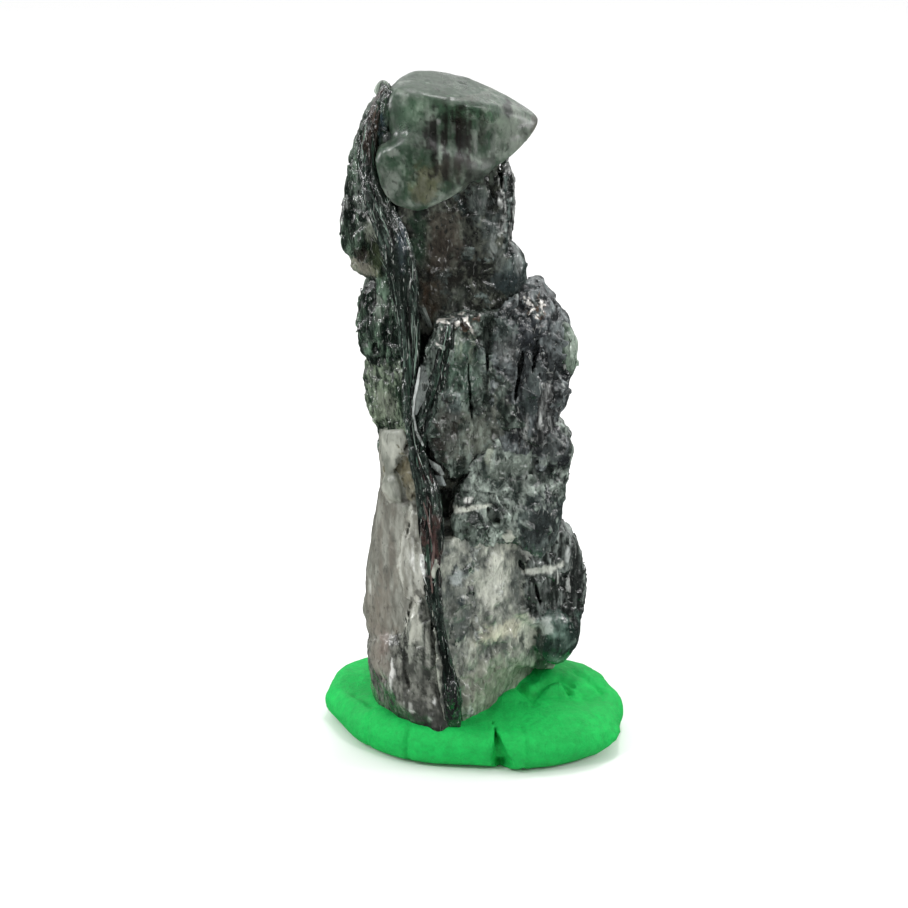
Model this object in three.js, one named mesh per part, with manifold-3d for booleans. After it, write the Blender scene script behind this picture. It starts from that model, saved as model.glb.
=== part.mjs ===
// A cluster of intergrown apatite crystals, pressed upright into a pad of green modelling clay.
//
// Millimetres, +Z up. The origin is the centre of the pad's footprint, on the surface that it lies on.
// X runs along the pad's long side. The cluster's narrow nose, with its dark spine, faces -Y.

import * as THREE from 'three';
import { ConvexGeometry } from 'three/addons/geometries/ConvexGeometry.js';
import { mergeVertices } from 'three/addons/utils/BufferGeometryUtils.js';
import Module from 'manifold-3d';

const wasm = await Module();
wasm.setup();

// Driving dimensions.

const PAD_LENGTH = 22.8;
const PAD_WIDTH = 15.4;
const PAD_THICKNESS = 3.0;
const LOBE_RISE = 1.5;
const FOOT_DEPTH = 1.7;
const FIT_GAP = 0.3;
const FOOT_BASE = PAD_THICKNESS - FOOT_DEPTH;
const FOOT_TOP = 8.4;

// Solids: three.js geometry in, closed solids that can be joined and cut out.

function toSolid(geometry) {
  const bare = geometry.clone();
  bare.deleteAttribute('normal');
  bare.deleteAttribute('uv');
  const merged = mergeVertices(bare);
  return new wasm.Manifold(new wasm.Mesh({
    numProp: 3,
    vertProperties: new Float32Array(merged.attributes.position.array),
    triVerts: new Uint32Array(merged.index.array),
  }));
}

function toGeometry(solid) {
  const mesh = solid.getMesh();
  const geometry = new THREE.BufferGeometry();
  geometry.setAttribute('position', new THREE.BufferAttribute(mesh.vertProperties, 3));
  geometry.setIndex(new THREE.BufferAttribute(mesh.triVerts, 1));
  geometry.computeVertexNormals();
  return geometry;
}

function joined(solids) {
  return solids.reduce((all, solid) => all.add(solid));
}

// One crystal. Its outline lists [x, z] corners as seen from the front. `front` and `back` are the depths
// of its faces at the outline's middle, and `slope` turns the front face: y gained for each mm of x.

const SHOULDER = 0.28;
const FACE_INSET = 0.24;

function crystal(outline, { front, back, slope = 0 }) {
  const box = new THREE.Box2().setFromPoints(outline.map(([x, z]) => new THREE.Vector2(x, z)));
  const middle = box.getCenter(new THREE.Vector2());
  const depth = back - front;
  const rings = [
    { y: front, inset: FACE_INSET, slope },
    { y: front + depth * SHOULDER, inset: 0, slope },
    { y: back - depth * SHOULDER, inset: 0, slope: slope * SHOULDER },
    { y: back, inset: FACE_INSET, slope: 0 },
  ];
  const points = [];
  for (const ring of rings) {
    for (const [x, z] of outline) {
      const dx = (x - middle.x) * (1 - ring.inset);
      const dz = (z - middle.y) * (1 - ring.inset);
      points.push(new THREE.Vector3(middle.x + dx, ring.y + ring.slope * dx, middle.y + dz));
    }
  }
  return toSolid(new ConvexGeometry(points));
}

// A six-sided column with a pointed tip, leaning from its foot to its tip.

const TIP_STEEPNESS = 0.9;

function column({ foot, tip, radius }) {
  const base = new THREE.Vector3(...foot);
  const axis = new THREE.Vector3(...tip).sub(base);
  const sides = new THREE.CylinderGeometry(radius, radius, 1, 6);
  const points = [new THREE.Vector3(...tip)];
  const turn = new THREE.Quaternion().setFromUnitVectors(new THREE.Vector3(0, 1, 0), axis.clone().normalize());
  const shaft = axis.length() - TIP_STEEPNESS * radius;
  const position = sides.attributes.position;
  for (let i = 0; i < position.count; i += 1) {
    const corner = new THREE.Vector3().fromBufferAttribute(position, i);
    corner.y = (corner.y + 0.5) * shaft;
    points.push(corner.applyQuaternion(turn).add(base));
  }
  return toSolid(new ConvexGeometry(points));
}

// The cluster's foot, in plan: a blunt wedge with its nose to the front and a shoulder to the right.

const FOOT_NOSE = [
  [-7.7, -0.2], [-7.0, -2.5], [-4.7, -4.6], [-2.5, -6.2], [-1.4, -5.9], [2.4, -1.0], [2.8, 5.4], [-3.2, 5.6],
  [-6.8, 3.8],
];
const FOOT_SHOULDER = [[-2.0, -3.0], [2.2, -1.0], [7.4, 1.8], [7.8, 2.8], [6.8, 4.4], [3.4, 5.6], [-2.0, 5.6]];

// A plan's prism. A growth above 0 moves its sides out by that much, all round.

const CORNER_STEPS = 12;

function prism(plan, low, high, growth) {
  const points = [];
  for (const [x, y] of plan) {
    for (let step = 0; step < CORNER_STEPS; step += 1) {
      const angle = (2 * Math.PI * step) / CORNER_STEPS;
      const px = x + growth * Math.cos(angle);
      const py = y + growth * Math.sin(angle);
      points.push(new THREE.Vector3(px, py, low), new THREE.Vector3(px, py, high));
    }
  }
  return toSolid(new ConvexGeometry(points));
}

function foot(low, high, growth = 0) {
  return prism(FOOT_NOSE, low, high, growth).add(prism(FOOT_SHOULDER, low, high, growth));
}

// Left flank, top to bottom: dark lenses over two pale blocks.

const leftFlank = [
  crystal([
    [-6.4, 48.0], [-7.4, 46.6], [-8.2, 44.0], [-9.0, 41.2], [-9.3, 38.6], [-9.1, 37.0], [-8.4, 35.9], [-7.2, 35.3],
    [-5.6, 36.4], [-5.2, 41.0], [-5.8, 46.0],
  ], { front: -3.0, back: 2.2, slope: -0.7 }),
  crystal([
    [-7.0, 35.6], [-7.8, 34.2], [-8.2, 32.0], [-8.0, 30.2], [-7.2, 29.1], [-4.8, 29.4], [-4.2, 33.0], [-5.0, 35.8],
  ], { front: -3.4, back: 3.4, slope: -0.7 }),
  crystal([
    [-7.4, 30.0], [-7.8, 27.8], [-7.6, 26.0], [-6.9, 24.6], [-4.6, 24.4], [-4.0, 28.0], [-5.0, 30.4],
  ], { front: -3.6, back: 3.2, slope: -0.8 }),
  crystal([
    [-6.7, 25.1], [-7.1, 23.4], [-6.9, 21.4], [-6.2, 20.0], [-4.2, 19.6], [-3.6, 22.0], [-4.2, 25.2],
  ], { front: -3.8, back: 3.0, slope: -0.8 }),
  crystal([
    [-6.4, 20.8], [-7.3, 18.2], [-7.9, 13.6], [-8.1, 9.7], [-7.7, 7.2], [-7.5, 3.8], [-2.2, 3.2], [-2.0, 8.0],
    [-3.2, 15.6], [-4.0, 20.6],
  ], { front: -4.2, back: 4.0, slope: -0.9 }),
  crystal([
    [-4.2, 11.6], [-5.6, 9.4], [-6.6, 6.4], [-6.0, 4.6], [-2.6, 3.4], [-1.8, 5.6], [-2.8, 9.6],
  ], { front: -5.4, back: 0.0, slope: -0.6 }),
];

// Right flank: a dark neck, a broad block with a translucent rim, a waist, and a wide foot.

const rightFlank = [
  crystal([
    [-5.0, 34.0], [-5.4, 40.0], [-4.8, 43.6], [1.7, 43.8], [2.2, 41.4], [2.5, 39.8], [2.3, 37.4], [2.6, 35.4],
    [2.9, 33.4],
  ], { front: -3.6, back: 3.6, slope: 0.35 }),
  crystal([
    [1.4, 36.6], [2.4, 37.4], [3.2, 37.0], [3.6, 35.8], [3.4, 34.4], [2.6, 33.6], [1.2, 34.6],
  ], { front: -2.6, back: 1.8, slope: 0.4 }),
  crystal([
    [-2.6, 33.2], [-0.6, 33.9], [1.8, 33.4], [2.2, 28.0], [1.6, 22.6], [-1.6, 21.8], [-3.4, 25.0], [-3.5, 30.2],
  ], { front: -4.8, back: 3.6, slope: 0.5 }),
  crystal([
    [1.4, 33.4], [3.6, 34.6], [5.4, 33.5], [6.6, 31.8], [7.0, 29.8], [6.6, 26.4], [6.0, 24.2], [4.2, 23.0],
    [2.0, 22.6], [1.0, 28.0],
  ], { front: -3.2, back: 3.4, slope: 0.5 }),
  crystal([
    [5.6, 32.4], [6.6, 31.8], [7.2, 30.4], [7.2, 28.9], [6.6, 27.9], [5.6, 28.2],
  ], { front: -2.2, back: 2.0, slope: 0.3 }),
  crystal([
    [2.4, 25.2], [5.9, 24.9], [6.9, 23.2], [7.1, 21.8], [6.7, 19.4], [6.4, 16.8], [3.0, 15.8], [0.4, 16.8],
    [-0.8, 19.6], [-0.6, 22.8],
  ], { front: -3.6, back: 4.2, slope: 0.5 }),
  crystal([
    [-1.5, 20.1], [-0.6, 20.7], [0.7, 20.2], [0.8, 17.4], [0.2, 16.0], [-1.5, 16.2], [-1.9, 18.0],
  ], { front: -5.4, back: 0.0, slope: 0.5 }),
  crystal([
    [3.4, 19.9], [5.2, 20.2], [6.5, 18.6], [6.2, 16.0], [4.8, 14.8], [3.2, 15.8], [2.8, 18.0],
  ], { front: -3.0, back: 2.0, slope: 0.4 }),
  crystal([
    [-2.8, 17.4], [0.6, 18.6], [3.6, 18.0], [6.2, 16.4], [6.6, 11.0], [6.2, 5.4], [1.6, 3.4], [-1.6, 3.2],
    [-2.6, 8.0], [-3.2, 13.6],
  ], { front: -3.9, back: 4.6, slope: 0.7 }),
  crystal([
    [6.0, 16.6], [7.3, 15.2], [8.1, 13.6], [8.4, 11.6], [8.2, 9.0], [7.6, 6.4], [6.6, 5.6], [5.0, 6.6],
    [4.6, 11.0], [5.0, 15.4],
  ], { front: -1.4, back: 4.0, slope: 0.4 }),
  crystal([
    [4.9, 9.4], [6.4, 9.6], [7.6, 8.4], [7.8, 7.0], [7.2, 5.8], [5.8, 5.2], [4.6, 6.0], [4.3, 7.8],
  ], { front: -2.0, back: 2.0, slope: 0.5 }),
];

// The clear crystal on top: a beaked upper half over a rounded collar.

const cap = [
  crystal([
    [-5.6, 45.0], [-5.9, 46.2], [-5.6, 47.8], [-4.9, 48.7], [-3.9, 49.1], [-1.6, 48.9], [0.4, 48.2], [3.0, 47.1],
    [4.3, 46.1], [3.8, 45.3], [2.8, 44.5], [1.4, 43.0], [-4.0, 42.4],
  ], { front: -4.8, back: 2.2, slope: 0.12 }),
  crystal([
    [-5.4, 45.2], [-6.4, 44.4], [-6.7, 43.2], [-6.0, 41.6], [-4.9, 40.5], [-3.8, 40.3], [-1.6, 41.1], [0.9, 42.2],
    [1.6, 43.4], [0.2, 45.2],
  ], { front: -5.0, back: 1.6, slope: 0.15 }),
];

// The dark spine: a bundle of thin blades down the nose, and one blade that branches off to the right.

const SPINE_ROUTE = [
  [-6.3, -2.9, 48.3], [-7.0, -3.6, 45.4], [-6.7, -4.3, 42.6], [-5.4, -4.7, 39.2], [-4.6, -5.0, 33.6],
  [-4.5, -5.2, 27.6], [-4.1, -5.3, 24.2], [-3.3, -5.5, 20.2], [-2.9, -5.9, 14.0], [-2.3, -6.1, 9.4],
  [-1.6, -6.0, 5.4], [-1.5, -5.4, 4.0],
];
const BRANCH_ROUTE = [[-1.5, -4.8, 33.2], [-2.4, -5.6, 29.6], [-3.4, -5.7, 26.0], [-4.0, -5.2, 23.2]];

function blade(route, width, depth, steps) {
  const section = new THREE.Shape([
    new THREE.Vector2(0, -width / 2), new THREE.Vector2(depth / 2, -width / 4),
    new THREE.Vector2(depth / 2, width / 4), new THREE.Vector2(0, width / 2),
    new THREE.Vector2(-depth / 2, width / 4), new THREE.Vector2(-depth / 2, -width / 4),
  ]);
  const path = new THREE.CatmullRomCurve3(route.map((point) => new THREE.Vector3(...point)));
  return toSolid(new THREE.ExtrudeGeometry(section, { steps, bevelEnabled: false, extrudePath: path }));
}

const spine = [
  blade(SPINE_ROUTE, 1.5, 1.8, 26),
  blade(BRANCH_ROUTE, 1.3, 1.2, 8),
];

// Behind the flanks: the long dark core that everything grew on, and a row of columns at the back.

const core = [
  crystal([
    [-5.4, 20.0], [-6.2, 34.0], [-5.8, 45.6], [-1.0, 46.4], [1.2, 41.0], [3.4, 32.0], [4.6, 20.0], [4.0, 5.0],
    [-5.0, 5.0],
  ], { front: -2.4, back: 3.4 }),
];

const backColumns = [
  column({ foot: [-4.6, 3.0, 4.0], tip: [-5.6, 2.0, 40.6], radius: 2.0 }),
  column({ foot: [-1.6, 3.4, 4.0], tip: [-3.0, 2.2, 45.4], radius: 2.2 }),
  column({ foot: [1.5, 3.5, 4.0], tip: [0.0, 2.0, 41.6], radius: 2.0 }),
  column({ foot: [4.4, 2.6, 5.0], tip: [3.8, 2.0, 30.6], radius: 2.0 }),
  column({ foot: [-5.4, 1.4, 4.4], tip: [-5.4, 1.0, 25.4], radius: 1.6 }),
  column({ foot: [0.2, 4.4, 4.0], tip: [0.4, 3.4, 25.0], radius: 1.6 }),
];

const cluster = joined([
  foot(FOOT_BASE, FOOT_TOP), ...core, ...leftFlank, ...rightFlank, ...cap, ...spine, ...backColumns,
]);

// The pad: rings of one outline, from the centre of its flat underside round the pressed edge to its top.

const PAD_OUTLINE = [
  [-11.4, 1.2], [-9.9, -1.6], [-8.0, -4.8], [-4.6, -6.9], [-0.6, -7.1], [3.4, -7.7], [7.4, -6.9], [10.4, -3.9],
  [11.4, -0.8], [10.3, 2.2], [7.4, 4.9], [3.4, 6.8], [-2.0, 7.7], [-7.2, 6.5], [-10.2, 4.0],
];
const PAD_PROFILE = [
  { reach: 0.87, height: 0 }, { reach: 0.95, height: 0.1 }, { reach: 1, height: 0.38 }, { reach: 0.985, height: 0.64 },
  { reach: 0.93, height: 0.86 }, { reach: 0.84, height: 0.97 }, { reach: 0.5, height: 1 },
];
const PAD_SEGMENTS = 72;
const LOBE_MIDDLE = new THREE.Vector2(8.0, -1.2);
const LOBE_RADIUS = 5.4;

function padHeight(x, y) {
  const away = new THREE.Vector2(x, y).distanceTo(LOBE_MIDDLE) / LOBE_RADIUS;
  return PAD_THICKNESS + LOBE_RISE * Math.exp(-away * away);
}

function padSolid() {
  const edge = new THREE.CatmullRomCurve3(PAD_OUTLINE.map(([x, y]) => new THREE.Vector3(x, y, 0)), true)
    .getSpacedPoints(PAD_SEGMENTS).slice(0, PAD_SEGMENTS);
  const size = new THREE.Box3().setFromPoints(edge);
  const middle = size.getCenter(new THREE.Vector3());
  const span = size.getSize(new THREE.Vector3());
  const positions = [0, 0, 0];
  for (const ring of PAD_PROFILE) {
    for (const point of edge) {
      const x = (point.x - middle.x) * (PAD_LENGTH / span.x) * ring.reach;
      const y = (point.y - middle.y) * (PAD_WIDTH / span.y) * ring.reach;
      positions.push(x, y, ring.height * padHeight(x, y));
    }
  }
  positions.push(0, 0, padHeight(0, 0));
  const index = [];
  const last = PAD_PROFILE.length - 1;
  const top = positions.length / 3 - 1;
  for (let i = 0; i < PAD_SEGMENTS; i += 1) {
    const next = (i + 1) % PAD_SEGMENTS;
    index.push(0, 1 + next, 1 + i);
    for (let ring = 0; ring < last; ring += 1) {
      const low = 1 + ring * PAD_SEGMENTS;
      const high = low + PAD_SEGMENTS;
      index.push(low + i, low + next, high + next, low + i, high + next, high + i);
    }
    const rim = 1 + last * PAD_SEGMENTS;
    index.push(top, rim + i, rim + next);
  }
  const geometry = new THREE.BufferGeometry();
  geometry.setAttribute('position', new THREE.Float32BufferAttribute(positions, 3));
  geometry.setIndex(index);
  return toSolid(geometry);
}

// The gash in the pad's front edge and the crease beside the cluster, each cut with a thin wedge.

function wedge(points) {
  return toSolid(new ConvexGeometry(points.map((point) => new THREE.Vector3(...point))));
}

const gash = wedge([
  [1.7, -4.2, 3.6], [1.6, -5.0, 2.4], [1.2, -8.6, 3.6], [2.8, -8.6, 3.6], [1.3, -8.6, 0.4], [2.7, -8.6, 0.4],
  [2.4, -6.4, 3.6],
]);
const crease = wedge([
  [2.6, -2.9, 5.4], [4.0, -4.3, 5.4], [6.9, -4.9, 5.4], [6.6, -3.9, 5.4], [3.9, -3.1, 5.4], [4.6, -3.9, 3.2],
  [5.8, -4.3, 3.2],
]);

const pad = padSolid()
  .subtract(foot(FOOT_BASE - FIT_GAP, FOOT_TOP, FIT_GAP))
  .subtract(gash)
  .subtract(crease);

// The assembly.

const object = new THREE.Group();

function addPart(name, solid, look) {
  const mesh = new THREE.Mesh(toGeometry(solid), new THREE.MeshStandardMaterial(look));
  mesh.name = name;
  object.add(mesh);
}

addPart('crystal_cluster', cluster, { color: 0x59605b, roughness: 0.4, metalness: 0 });
addPart('modelling_clay', pad, { color: 0x2cbf58, roughness: 0.65, metalness: 0 });

export default object;
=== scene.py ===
import itertools
import math
from collections import namedtuple

import bmesh
import bpy
import numpy as np
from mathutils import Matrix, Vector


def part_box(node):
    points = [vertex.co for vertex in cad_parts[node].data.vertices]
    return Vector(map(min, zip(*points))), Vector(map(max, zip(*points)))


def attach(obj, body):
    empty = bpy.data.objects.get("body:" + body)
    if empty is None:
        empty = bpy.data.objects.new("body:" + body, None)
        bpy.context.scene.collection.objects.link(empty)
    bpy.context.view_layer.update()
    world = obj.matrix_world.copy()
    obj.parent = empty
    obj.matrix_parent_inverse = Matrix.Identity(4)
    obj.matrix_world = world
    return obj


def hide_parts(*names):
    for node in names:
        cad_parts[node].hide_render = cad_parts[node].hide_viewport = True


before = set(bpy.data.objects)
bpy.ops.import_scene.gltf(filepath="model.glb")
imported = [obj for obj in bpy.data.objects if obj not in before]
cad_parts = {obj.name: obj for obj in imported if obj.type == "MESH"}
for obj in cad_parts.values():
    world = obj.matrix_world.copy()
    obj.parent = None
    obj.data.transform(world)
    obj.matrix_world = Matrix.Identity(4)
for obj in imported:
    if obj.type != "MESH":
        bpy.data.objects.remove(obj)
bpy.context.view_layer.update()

import openvdb

# A cluster of intergrown apatite crystals in a pad of green modelling clay.
#
# Shapes are worked out in millimetres, in the CAD model's frame, and written to meshes in metres. A grown
# piece is a distance field on a grid of voxels: convex crystals joined, then roughened by noise near
# their surface. OpenVDB turns the field into a closed mesh, and each vertex gets its own tint and
# roughness. Blades and flakes are small meshes of their own.

MM = 0.001
VOXEL = 0.12
BACK_VOXEL = VOXEL * 1.9
CLAY_VOXEL = 0.165

# In millimetres: distances are kept up to FAR, only voxels within BAND of the surface are roughened, and
# each crystal has a MARGIN of space round it for its roughness and its joints.
FAR = 3.0
BAND = 0.8
MARGIN = 1.0

# How softly a crystal's sides meet, and how softly a slice cuts it, in millimetres.
SIDE_BLEND = 0.15
SLICE_BLEND = 0.4

CLUSTER = "crystal_cluster"
CLAY = "modelling_clay"


def linear(red, green, blue):
    """A colour given as 0 to 255 display values, as linear light."""
    channels = np.array([red, green, blue], float) / 255
    return np.where(channels <= 0.04045, channels / 12.92, ((channels + 0.055) / 1.055) ** 2.4)


# ---------------------------------------------------------------- noise

TABLE_SIDE = 64
LAYER_SHIFT = 7.3


class Noise:
    """Smooth random values from -1 to 1 at points given in millimetres."""

    def __init__(self, seed):
        table = np.random.default_rng(seed).uniform(-1, 1, (TABLE_SIDE,) * 3)
        self.table = table.astype(np.float32).ravel()

    def at(self, points, size):
        """Values whose lumps are `size` millimetres across: one number, or one for each axis."""
        place = points / np.asarray(size, np.float32)
        base = np.floor(place)
        part = place - base
        part = part * part * (3 - 2 * part)
        low = base.astype(np.int64) % TABLE_SIDE
        high = (low + 1) % TABLE_SIDE
        total = np.zeros(len(points), np.float32)
        for corner in itertools.product((0, 1), repeat=3):
            index = np.zeros(len(points), np.int64)
            weight = np.ones(len(points), np.float32)
            for axis in range(3):
                index = index * TABLE_SIDE + (high if corner[axis] else low)[:, axis]
                weight *= part[:, axis] if corner[axis] else 1 - part[:, axis]
            total += weight * self.table[index]
        return total

    def layers(self, points, size, count, gain=0.55):
        """Several sizes of noise added, each half the size of the one before."""
        total = np.zeros(len(points), np.float32)
        share = 1.0
        for layer in range(count):
            total += share * self.at(points + LAYER_SHIFT * layer, np.asarray(size) / 2 ** layer)
            share *= gain
        return total


CELL_CODES = 4096
HASH_STEPS = np.array([73856093, 19349663, 83492791])

# A spot lies this far into its cell, in parts of the cell. NO_SPOT is farther than any spot.
SPOT_LOW = 0.15
SPOT_SPREAD = 0.7
NO_SPOT = 99


def cells(points, size, seed):
    """The nearest of a loose grid of random spots: its three random numbers, the way from it, and how
    much nearer it is than the next one."""
    codes = np.random.default_rng(seed).random((CELL_CODES, 3)).astype(np.float32)
    place = points / np.asarray(size, np.float32)
    base = np.floor(place - 0.5).astype(np.int64)
    count = len(points)
    nearest = np.full(count, NO_SPOT, np.float32)
    second = np.full(count, NO_SPOT, np.float32)
    code = np.zeros((count, 3), np.float32)
    away = np.zeros((count, 3), np.float32)
    for corner in itertools.product((0, 1), repeat=3):
        cell = base + np.array(corner)
        pick = codes[np.bitwise_xor.reduce(cell * HASH_STEPS, axis=1) % CELL_CODES]
        way = place - (cell + SPOT_LOW + SPOT_SPREAD * pick)
        gap = np.sqrt((way * way).sum(1))
        closer = gap < nearest
        second = np.where(closer, nearest, np.minimum(second, gap))
        nearest = np.where(closer, gap, nearest)
        code[closer] = pick[closer]
        away[closer] = way[closer]
    return np.roll(code, 1, axis=1), away * np.asarray(size, np.float32), second - nearest


def ramp(values, low, high):
    """0 below low, 1 above high, and smooth between."""
    part = np.clip((values - low) / (high - low), 0, 1)
    return part * part * (3 - 2 * part)


broad_noise = Noise(11)
fine_noise = Noise(23)
streak_noise = Noise(37)
patch_noise = Noise(41)


# ---------------------------------------------------------------- looks of the crystals

# Each look gives a crystal's surface, as heights in millimetres, and its colours.
#   lump    broad swells
#   stria   ridges along the crystal
#   grain   fine roughness
#   facet   flat chips at odd angles
#   chip    the size of those chips
#   rough   the shader's roughness
#   dark, pale   its two colours
#   share   how far the balance of the two is moved towards pale
#   patch   the size of the pale patches, across and along
Look = namedtuple("Look", "lump stria grain facet chip rough dark pale share patch")
LOOKS = {
    "lens": Look(0.12, 0.1, 0.04, 0.2, 1.5, 0.11, (12, 25, 18), (104, 128, 108), -0.25, (0.35, 1.8)),
    "green": Look(0.12, 0.04, 0.04, 0.18, 1.2, 0.16, (28, 46, 32), (146, 162, 138), 0, (0.8, 1)),
    "clear": Look(0.08, 0.03, 0, 0.1, 1.4, 0.15, (112, 130, 114), (180, 194, 180), 0.2, (0.8, 1.6)),
    "pale": Look(0.1, 0.02, 0.02, 0.08, 2.4, 0.3, (116, 120, 110), (172, 175, 163), 0.2, (1, 2.2)),
    "wood": Look(0.14, 0.01, 0.02, 0.06, 2.6, 0.34, (106, 106, 97), (146, 148, 138), 0, (0.45, 1.5)),
    "strip": Look(0.1, 0.06, 0.03, 0.08, 1.6, 0.22, (124, 124, 114), (186, 188, 178), 0.1, (0.5, 3)),
    "hollow": Look(0.1, 0.02, 0.04, 0.18, 0.9, 0.24, (84, 82, 64), (156, 154, 134), -0.1, (0.5, 0.8)),
    "sole": Look(0.2, 0.02, 0.04, 0.07, 1.8, 0.13, (52, 54, 50), (126, 128, 120), 0, (0.3, 0.7)),
    "foot": Look(0.14, 0.05, 0.05, 0.12, 1.4, 0.11, (46, 49, 45), (148, 152, 142), 0, (0.25, 1.2)),
    "neck": Look(0.08, 0.02, 0.03, 0.1, 1.1, 0.18, (20, 22, 19), (76, 80, 71), -0.1, (0.4, 0.5)),
    "slate": Look(0.05, 0.02, 0.005, 0.06, 1.8, 0.2, (38, 44, 44), (78, 86, 84), 0, (0.8, 1.6)),
    "plate": Look(0.05, 0.05, 0.005, 0.12, 0.9, 0.1, (16, 20, 18), (176, 179, 175), -0.15, (0.3, 1.8)),
    "mottle": Look(0.14, 0.07, 0.04, 0.15, 1.1, 0.15, (22, 30, 25), (104, 115, 107), -0.1, (0.45, 1)),
    "smoky": Look(0.12, 0.06, 0.04, 0.2, 1.3, 0.15, (26, 29, 30), (106, 113, 113), -0.1, (0.6, 1.3)),
    "glint": Look(0, 0, 0, 0.05, 0.5, 0.1, (150, 146, 138), (235, 232, 226), 0.3, (0.3, 0.3)),
    "brown": Look(0, 0.02, 0.01, 0.06, 0.6, 0.16, (26, 20, 16), (86, 72, 60), -0.1, (0.3, 0.4)),
    "ridged": Look(0.06, 0.13, 0.01, 0.1, 1.2, 0.2, (24, 26, 26), (150, 153, 150), -0.1, (0.25, 2.4)),
    "waist": Look(0.18, 0.05, 0.04, 0.22, 1.3, 0.15, (38, 46, 42), (144, 155, 146), 0, (0.7, 0.7)),
    "lobe": Look(0.12, 0.03, 0.03, 0.14, 1.3, 0.14, (28, 36, 34), (86, 96, 92), -0.1, (0.6, 0.7)),
    "quartz": Look(0.16, 0.05, 0.04, 0.09, 1.3, 0.18, (82, 87, 82), (164, 168, 156), 0.1, (0.7, 1.2)),
    "crumb": Look(0.14, 0.05, 0.05, 0.22, 0.8, 0.13, (46, 52, 50), (172, 178, 172), 0.05, (0.35, 0.6)),
    "flaky": Look(0.1, 0.12, 0.02, 0.14, 1, 0.11, (26, 31, 28), (136, 144, 139), -0.25, (0.25, 2.2)),
    "ball": Look(0.1, 0.02, 0.01, 0.04, 0.9, 0.14, (24, 40, 34), (104, 126, 115), -0.15, (1.2, 1.2)),
    "column": Look(0.06, 0.1, 0.015, 0.12, 1.4, 0.15, (22, 32, 27), (96, 110, 98), -0.15, (0.35, 3)),
    "blade": Look(0.05, 0.2, 0, 0.08, 0.8, 0.1, (10, 17, 14), (70, 84, 76), -0.4, (0.14, 2.4)),
    "heart": Look(0.05, 0.12, 0, 0.06, 0.8, 0.2, (20, 16, 15), (72, 60, 56), -0.35, (0.14, 2.4)),
    "cap": Look(0.04, 0.006, 0.006, 0.03, 2, 0.34, (84, 120, 92), (204, 220, 202), 0.05, (0.6, 0.8)),
}
LOOK_NAMES = list(LOOKS)
LOOK_COLUMNS = Look(*zip(*LOOKS.values()))

# The two sizes of facet: how big beside the look's chips, and how strong.
FACET_SIZES = ((1.0, 1.0), (0.38, 0.7))
FACET_STRETCH = 1.6
FACET_TILT = 1.8
FACET_STEP = 0.5
GROOVE_DEPTH = 0.15
FACET_SEED = 5


def spread(column, owners):
    """One column of the looks, spread over points by the look that owns each."""
    return np.array(column, np.float32)[owners]


def facets(points, owners):
    """The flat faces of broken crystal, in two sizes: how far each stands out, in millimetres, and how
    pale it is beside its neighbours, with painted shade in the grooves between them."""
    height = np.zeros(len(points), np.float32)
    tone = np.zeros(len(points), np.float32)
    facet, chip_size = spread(LOOK_COLUMNS.facet, owners), spread(LOOK_COLUMNS.chip, owners)
    for scale, share in FACET_SIZES:
        for size in np.unique(chip_size):
            here = chip_size == size
            wide = size * scale
            code, away, edge = cells(points[here], (wide, wide, wide * FACET_STRETCH), FACET_SEED)
            tilt = ((code - 0.5) * away).sum(1) * FACET_TILT / wide
            step = (code[:, 0] - 0.5) * FACET_STEP
            groove = GROOVE_DEPTH * (1 - ramp(edge, 0, 0.10))
            height[here] += share * facet[here] * (tilt + step - groove)
            # Each chip gets its own random tone, and painted shade darkens its rim where the groove sinks.
            tone[here] += share * (code[:, 1] - 0.5) - 0.3 * (1 - ramp(edge, 0, 0.08))
    return height, tone


def bumps(points, owners):
    """The rounded relief of a crystal's skin, in millimetres."""
    height = spread(LOOK_COLUMNS.lump, owners) * broad_noise.layers(points, 2.6, 3)
    height += spread(LOOK_COLUMNS.stria, owners) * streak_noise.layers(points, (0.36, 0.36, 4.5), 2)
    grain = fine_noise.layers(points, (0.5, 0.5, 0.8), 3, 0.7)
    return height + spread(LOOK_COLUMNS.grain, owners) * grain


def roughening(points, owners):
    """How far the surface stands out from the plain crystal, in millimetres."""
    return bumps(points, owners) + facets(points, owners)[0]


# How strongly each of these moves a vertex towards its look's pale colour.
BLOTCH_SHARE = 0.9
STREAK_SHARE = 0.35
TONE_SHARE = 0.45
# Painted shade: how much darker the sunk parts of the relief are painted than the raised parts.
RELIEF_SHADE_SHARE = 1.5
FACET_SHARE = 4.0


def tints(points, owners):
    """Each vertex's colour, and its roughness as a fourth number."""
    dark = np.array([linear(*shade) for shade in LOOK_COLUMNS.dark])[owners]
    pale = np.array([linear(*shade) for shade in LOOK_COLUMNS.pale])[owners]
    across, along = (spread(sizes, owners) for sizes in zip(*LOOK_COLUMNS.patch))
    stretched = points / np.stack([across, across, along], 1)
    relief, grain_tone_and_groove_shade = facets(points, owners)
    relief += bumps(points, owners)
    blotch = patch_noise.layers(stretched, 1.0, 4, 0.75)
    blotch += STREAK_SHARE * streak_noise.layers(points + 5, (0.2, 0.2, 1.8), 2)
    tone = broad_noise.layers(points + 17, 2.2, 2)
    share = BLOTCH_SHARE * blotch + TONE_SHARE * tone + spread(LOOK_COLUMNS.share, owners)
    # Paler where the surface stands out and darker where it sinks: painted shade in the hollows.
    share += RELIEF_SHADE_SHARE * relief
    share += FACET_SHARE * spread(LOOK_COLUMNS.facet, owners) * grain_tone_and_groove_shade
    pale_part = ramp(share, -0.8, 1.3)
    colour = dark + (pale - dark) * pale_part[:, None]
    gloss = spread(LOOK_COLUMNS.rough, owners) * (1 + 0.35 * tone)
    return np.hstack([colour, gloss[:, None]])


# ---------------------------------------------------------------- solids

def soft_max(first, second, blend):
    """The greater of two distances, rounded where they are within `blend` of each other."""
    bend = np.maximum(blend - np.abs(first - second), 0) / blend
    return np.maximum(first, second) + bend * bend * blend / 4


def soft_min(first, second, blend):
    """The lesser of two distances, rounded in the same way."""
    return -soft_max(-first, -second, blend)


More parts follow.
